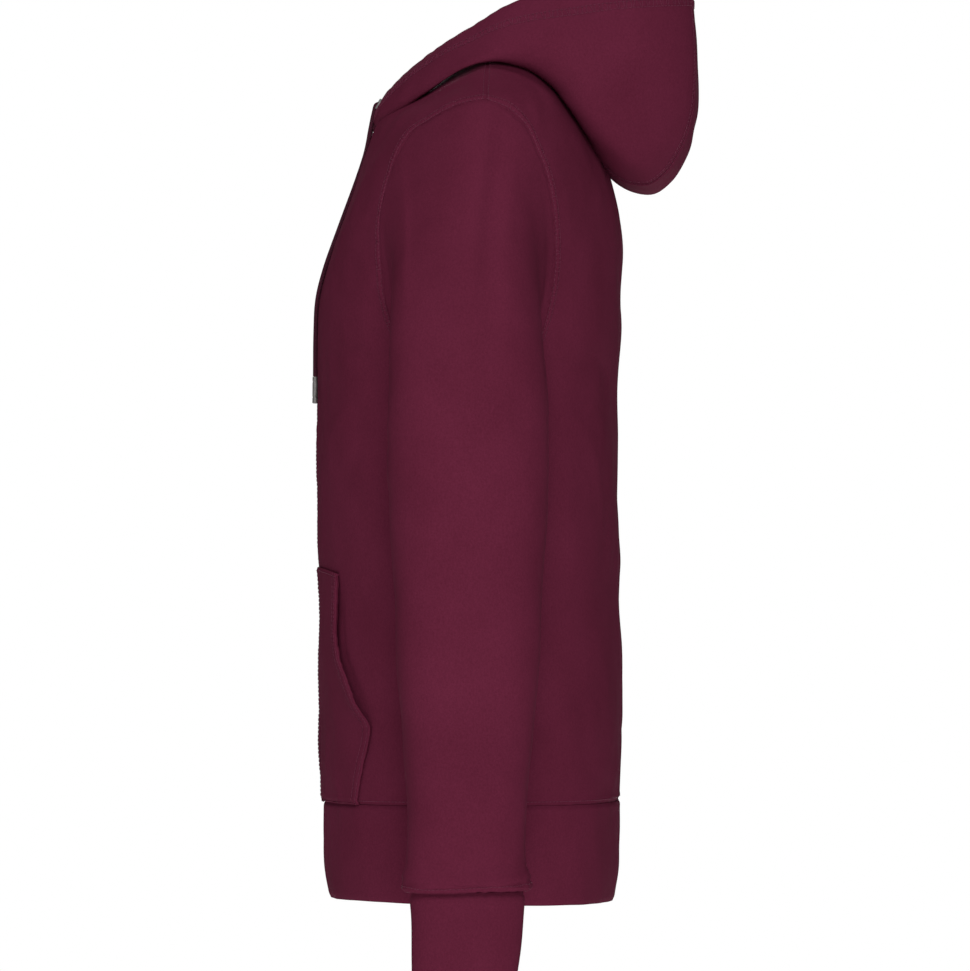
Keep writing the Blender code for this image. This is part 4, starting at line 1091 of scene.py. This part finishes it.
def shape_pocket(pocket, seed):
    unevenness = np.random.default_rng(seed).uniform(0.8, 1.2)
    for edge in ("end", "last", "start"):
        roll(pocket, edge, 0.8, 1.3)
    ripple(pocket, "end", seed, 0.3, 10, 14)
    ridge(pocket, "end", 4.6, 0.35, 3.0)
    ridge(pocket, "first", BELLY_HEIGHT, BELLY * unevenness, BELLY_REACH)
    z = pocket.points[..., 2] / MM
    foot, head = GAPE_FADES
    gape = np.clip((z - POCKET_CORNER) / foot, 0, 1) * np.clip((POCKET_TOP - z) / head, 0, 1)
    pocket.height += POCKET_GAPE * MM * gape * bell(pocket.distance("end"), GAPE_REACH * MM)


def add_eyelet(side, sign, hood):
    """The cord's metal eyelet, seated on the hood's finished face."""
    facing = Vector((sign * EYELET_FACING[0], *EYELET_FACING[1:])).normalized()
    place = Vector((sign * EYELET_PLACE[0], *EYELET_PLACE[1:])) * MM
    seat, way, _, _ = surface_tree(hood).ray_cast(place + facing * EYELET_REACH, -facing)
    if way.dot(facing) < 0:
        way = -way
    name = "hood_eyelet_" + side
    add_piece(name, eyelet_mesh(name), TRIM_METAL, "eyelet_" + side,
              stand(seat + way * EYELET_WIRE * 0.6, way))


# ---- the zip
def zip_path(grids):
    """Points on the front's outer face along the centre line, from the foot up, and the way out."""
    hem, front = grids["hem_band"], grids["front_left"]
    low, low_out = hem.points[:, 0], hem.normals()[:, 4]
    high, high_out = front.points[:, 0], front.normals()[:, 4]
    places = np.concatenate([low - low_out * HEM_PROUD, high])
    ways = np.concatenate([low_out, high_out])
    keep = (places[:, 2] > ZIP_BOTTOM * MM) & (places[:, 2] < TAPE_TOP * MM)
    places, ways = places[keep], ways[keep]
    places[:, 0] = 0.0
    ways[:, 0] = 0.0
    ways /= np.linalg.norm(ways, axis=1, keepdims=True)
    smooth = np.ones(ZIP_SMOOTH) / ZIP_SMOOTH
    for k in (1, 2):
        padded = np.pad(places[:, k], ZIP_SMOOTH // 2, mode="reflect", reflect_type="odd")
        places[:, k] = np.convolve(padded, smooth, mode="valid")
        padded = np.pad(ways[:, k], ZIP_SMOOTH // 2, mode="edge")
        ways[:, k] = np.convolve(padded, smooth, mode="valid")
    return places, ways


def tape_grid(path, sign):
    places, ways = path
    columns = []
    for x in np.linspace(TAPE_EDGE, TAPE_EDGE + TAPE_WIDTH, TAPE_COLUMNS):
        column = places - ways * TAPE_DEPTH * MM
        column[:, 0] = sign * x * MM
        columns.append(column)
    return Grid(np.stack(columns, axis=1), np.array((0.0, -1.0, 0.0)))


def tooth_shape():
    """One tooth's corners and faces: across, along the zip and out, in millimetres."""
    work = bmesh.new()
    bmesh.ops.create_cube(work, size=1.0)
    bmesh.ops.scale(work, vec=TOOTH_SIZE, verts=work.verts[:])
    bmesh.ops.bevel(work, geom=work.edges[:], offset=TOOTH_BEVEL, segments=1, affect="EDGES")
    for vert in work.verts:
        if vert.co.x < 0:
            vert.co.y *= TOOTH_NECK
    work.verts.index_update()
    corners = np.array([vert.co[:] for vert in work.verts])
    faces = [[vert.index for vert in face.verts] for face in work.faces]
    work.free()
    return corners, faces


def add_teeth(path, side, sign):
    places, ways = path
    lengths = lengths_along(places)
    shape, shape_faces = tooth_shape()
    corners, faces = [], []
    first = TOOTH_PITCH * (0.0 if sign > 0 else 0.5) * MM
    for length in np.arange(first, lengths[-1], TOOTH_PITCH * MM):
        base, out = read_at(length, lengths, places), read_at(length, lengths, ways)
        if not TEETH_FOOT * MM < base[2] < TEETH_HEAD * MM:
            continue
        across = np.array([float(sign), 0.0, 0.0])
        down = np.cross(across, out)
        base = base + across * TOOTH_ACROSS * MM - out * TOOTH_DEPTH * MM
        start = len(corners)
        corners += [tuple(base + (across * x + down * y + out * z) * MM) for x, y, z in shape]
        faces += [[start + i for i in (face if sign > 0 else face[::-1])] for face in shape_faces]
    name = "zip_teeth_" + side
    mesh = bpy.data.meshes.new(name)
    mesh.from_pydata(corners, [], faces)
    mesh.validate()
    add_piece(name, mesh, ZIP_METAL)


def dress_zip(grids):
    path = zip_path(grids)
    for side, sign in SIDES:
        name = "zip_tape_twill_" + side
        mesh = tape_grid(path, sign).mesh(name, TAPE_WALL * MM)
        tape = add_piece(name, mesh, TAPE, "zip_tape_" + side)
        add_teeth(path, side, sign)
    for node in ("zip_slider", "zip_pull", "zip_box"):
        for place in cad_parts[node].material_slots:
            place.material = ZIP_METAL


# ---- putting the cloth in
def add_cloth(grids, name, thick):
    mesh = grids[name].mesh(name + "_cloth", thick)
    cloth = add_piece(name + "_cloth", mesh, FLEECE, name)


def add_back(grids):
    """Both halves of the back in one wall, joined on the centre line."""
    work = bmesh.new()
    for side, _ in SIDES:
        work.from_mesh(grids["back_" + side].mesh("back_" + side, CLOTH))

    def on_centre(vert):
        return abs(vert.co.x) < CENTRE_WELD

    inner = [face for face in work.faces if all(on_centre(vert) for vert in face.verts)]
    bmesh.ops.delete(work, geom=inner, context="FACES_ONLY")
    centre = [vert for vert in work.verts if on_centre(vert)]
    bmesh.ops.remove_doubles(work, verts=centre, dist=CENTRE_WELD)
    cloth = add_piece("back_cloth", mesh_from(work, "back_cloth", SHARP_ANGLE), FLEECE, "back")


def dress_cloth(grids):
    for side, _ in SIDES:
        add_cloth(grids, "front_" + side, CLOTH)
        add_cloth(grids, "sleeve_" + side, CLOTH)
        add_cloth(grids, "cuff_" + side, BAND)
        add_cloth(grids, "hood_" + side, CLOTH)
    add_cloth(grids, "hood_centre", CLOTH)
    add_cloth(grids, "hem_band", BAND)
    add_back(grids)


def dress_pockets(grids):
    for side, sign in SIDES:
        name = "pocket_" + side
        grids[name] = pocket_grid(grids["front_" + side], sign)
        shape_pocket(grids[name], POCKET_SEED + sign)
        grids[name].settle()
        add_cloth(grids, name, POCKET_WALL)


# ---- putting the sewing in
# Rows of stitches, a mesh each: the piece, the edge and how far in the rows lie, in millimetres.
# Two rows given together are a flat seam, crossed by looper threads.
HOOD_HEM_ROWS = (HOOD_HEM - 3.2, HOOD_HEM + 2.4)
STITCHED = {
    "armhole": [("front", "end", (1.6, 7.0)), ("back", "end", (1.6, 7.0))],
    "shoulder": [("front", "last", (2.6,)), ("back", "last", (2.6,))],
    "hem": [("front", "first", (3.2,)), ("back", "first", (3.2,))],
    "zip": [("front", "start", (6.2,))],
    "wrist": [("sleeve", "last", (10.6,))],
    "pocket": [("pocket", "end", (2.6,)), ("pocket", "end", (8.8,)), ("pocket", "last", (2.6,)),
               ("pocket", "start", (2.4,))],
    "hood": [("hood", "last", (1.6, 7.2)), ("hood", "end", HOOD_HEM_ROWS)],
}
STITCHED_CENTRE = [("hood_centre", "end", HOOD_HEM_ROWS), ("hood_centre", "first", (2.0,)),
                   ("hood_centre", "last", (2.0,))]
# The turned-in edges of the seams: their name, the piece and the edge.
ALLOWANCES = [("front_armhole", "front", "end"), ("back_armhole", "back", "end"),
              ("front_hem", "front", "first"), ("back_hem", "back", "first"),
              ("shoulder", "front", "last"), ("hood_panel", "hood", "last"),
              ("hood_neck", "hood", "start"), ("cuff", "cuff", "first")]


def above_underarm(line):
    places, ways = line
    keep = places[:, 2] > UNDERARM_Z
    return places[keep], ways[keep]


def sew(grids, name, side, rows):
    sewing = Sewing()
    for piece, edge, insets in rows:
        lines = [grids[piece + side].line(edge, inset * MM) for inset in insets]
        if name == "armhole":
            lines = [above_underarm(line) for line in lines]
        for line in lines:
            sewing.row(line, SEAM_LIFTS.get(name, STITCH_LIFT))
        if len(lines) == 2:
            sewing.ladder(*lines)
    sewing.add("stitching_" + name + side)


def add_sewing(grids):
    for side, _ in SIDES:
        for name, rows in STITCHED.items():
            sew(grids, name, "_" + side, rows)
    sew(grids, "hood_centre", "", STITCHED_CENTRE)


def tube_mesh(name, points, radius, sides):
    """A round tube through a row of points."""
    along = np.gradient(points, axis=0)
    along /= np.maximum(np.linalg.norm(along, axis=1, keepdims=True), TINY)
    # The second part keeps this from being nothing where the tube is upright.
    side = np.cross(along, (0.0, 0.0, 1.0)) + np.cross(along, (0.0, 1.0, 0.0)) * 1e-3
    side /= np.linalg.norm(side, axis=1, keepdims=True)
    other = np.cross(along, side)
    turns = [2 * math.pi * k / sides for k in range(sides)]
    corners = [tuple(place + (a * math.cos(turn) + b * math.sin(turn)) * radius)
               for place, a, b in zip(points, side, other) for turn in turns]
    faces = cells(len(points), sides, ring=True).tolist()
    faces += [list(range(sides))[::-1], list(range(len(corners) - sides, len(corners)))]
    mesh = bpy.data.meshes.new(name)
    mesh.from_pydata(corners, [], faces)
    mesh.shade_smooth()
    return mesh


def add_allowance(name, grid, edge):
    """The turned-in edges of a seam, which shut the join between two pieces from behind."""
    places, ways = grid.line(edge, 0.0)
    places = places - ways * ALLOWANCE_DEPTH
    if grid.ring:
        places = np.concatenate([places, places[:2]])
    name = "allowance_" + name
    add_piece(name, tube_mesh(name, places, ALLOWANCE_RADIUS, ALLOWANCE_SIDES), FLEECE)


def add_allowances(grids):
    for side, _ in SIDES:
        for name, piece, edge in ALLOWANCES:
            add_allowance(name + "_" + side, grids[piece + "_" + side], edge)
    add_allowance("hood_neck_centre", grids["hood_centre"], "start")


# ---- putting the room in
# Soft boxes: place, width and power in watts.
LIGHTS = [
    ("key", (5.6, 0.4, 2.1), 2.2, 220.0),
    ("low", (5.8, 0.15, -0.9), 1.2, 32.0),
    ("far_side", (-5.6, 0.4, 2.1), 2.2, 220.0),
    ("front", (0.6, -7.0, 1.6), 3.0, 17.0),
    ("rear", (-0.6, 7.0, 1.6), 3.0, 8.0),
    ("top", (0.9, -1.0, 5.5), 3.0, 150.0),
]


def add_light(name, place, size, power):
    data = bpy.data.lights.new(name, "AREA")
    data.shape = "RECTANGLE"
    data.size = data.size_y = size
    data.energy = power
    light = bpy.data.objects.new(name, data)
    light.location = place
    light.rotation_euler = (Vector(MIDDLE) - Vector(place)).to_track_quat("-Z", "Y").to_euler()
    bpy.context.scene.collection.objects.link(light)


def add_floor():
    work = bmesh.new()
    bmesh.ops.create_circle(work, cap_ends=True, radius=FLOOR_RADIUS, segments=96)
    mesh = mesh_from(work, "floor")
    floor = bpy.data.objects.new("floor", mesh)
    floor.location = (0.0, 0.0, FLOOR_Z)
    nodes = Nodes("floor_paper")
    tone = nodes.ramp(nodes.noise(2.0, 2.0), [(0.3, (0.86, 0.86, 0.86)), (0.7, (0.9, 0.9, 0.9))])
    nodes.set(Base_Color=tone, Roughness=0.9, Specular_IOR_Level=0.1)
    nodes.set(Emission_Color=tone, Emission_Strength=FLOOR_GLOW)
    mesh.materials.append(nodes.material)
    bpy.context.scene.collection.objects.link(floor)


def add_world():
    """A white backdrop to look at, and a dimmer even light from all round."""
    world = bpy.data.worlds.new("studio")
    world.use_nodes = True
    tree = world.node_tree
    seen = tree.nodes["Background"]
    seen.inputs["Color"].default_value = (1.0, 1.0, 1.0, 1.0)
    seen.inputs["Strength"].default_value = 1.0
    lit = tree.nodes.new("ShaderNodeBackground")
    lit.inputs["Color"].default_value = (1.0, 1.0, 1.0, 1.0)
    lit.inputs["Strength"].default_value = WORLD_STRENGTH
    share = tree.nodes.new("ShaderNodeMixShader")
    tree.links.new(tree.nodes.new("ShaderNodeLightPath").outputs["Is Camera Ray"], share.inputs[0])
    tree.links.new(lit.outputs[0], share.inputs[1])
    tree.links.new(seen.outputs[0], share.inputs[2])
    tree.links.new(share.outputs[0], tree.nodes["World Output"].inputs["Surface"])
    bpy.context.scene.world = world


def add_room():
    add_floor()
    add_world()
    bpy.context.scene.view_settings.view_transform = "Standard"
    for light in LIGHTS:
        add_light(*light)


def main():
    add_camera()
    for side, sign in SIDES:
        add_cord(side, sign)
    grids = make_grids()
    shape_folds(grids)
    shape_seams(grids)
    for grid in grids.values():
        grid.settle()
    dress_cloth(grids)
    for side, sign in SIDES:
        add_eyelet(side, sign, grids["hood_" + side])
    dress_pockets(grids)
    dress_zip(grids)
    add_sewing(grids)
    add_allowances(grids)
    add_room()


main()
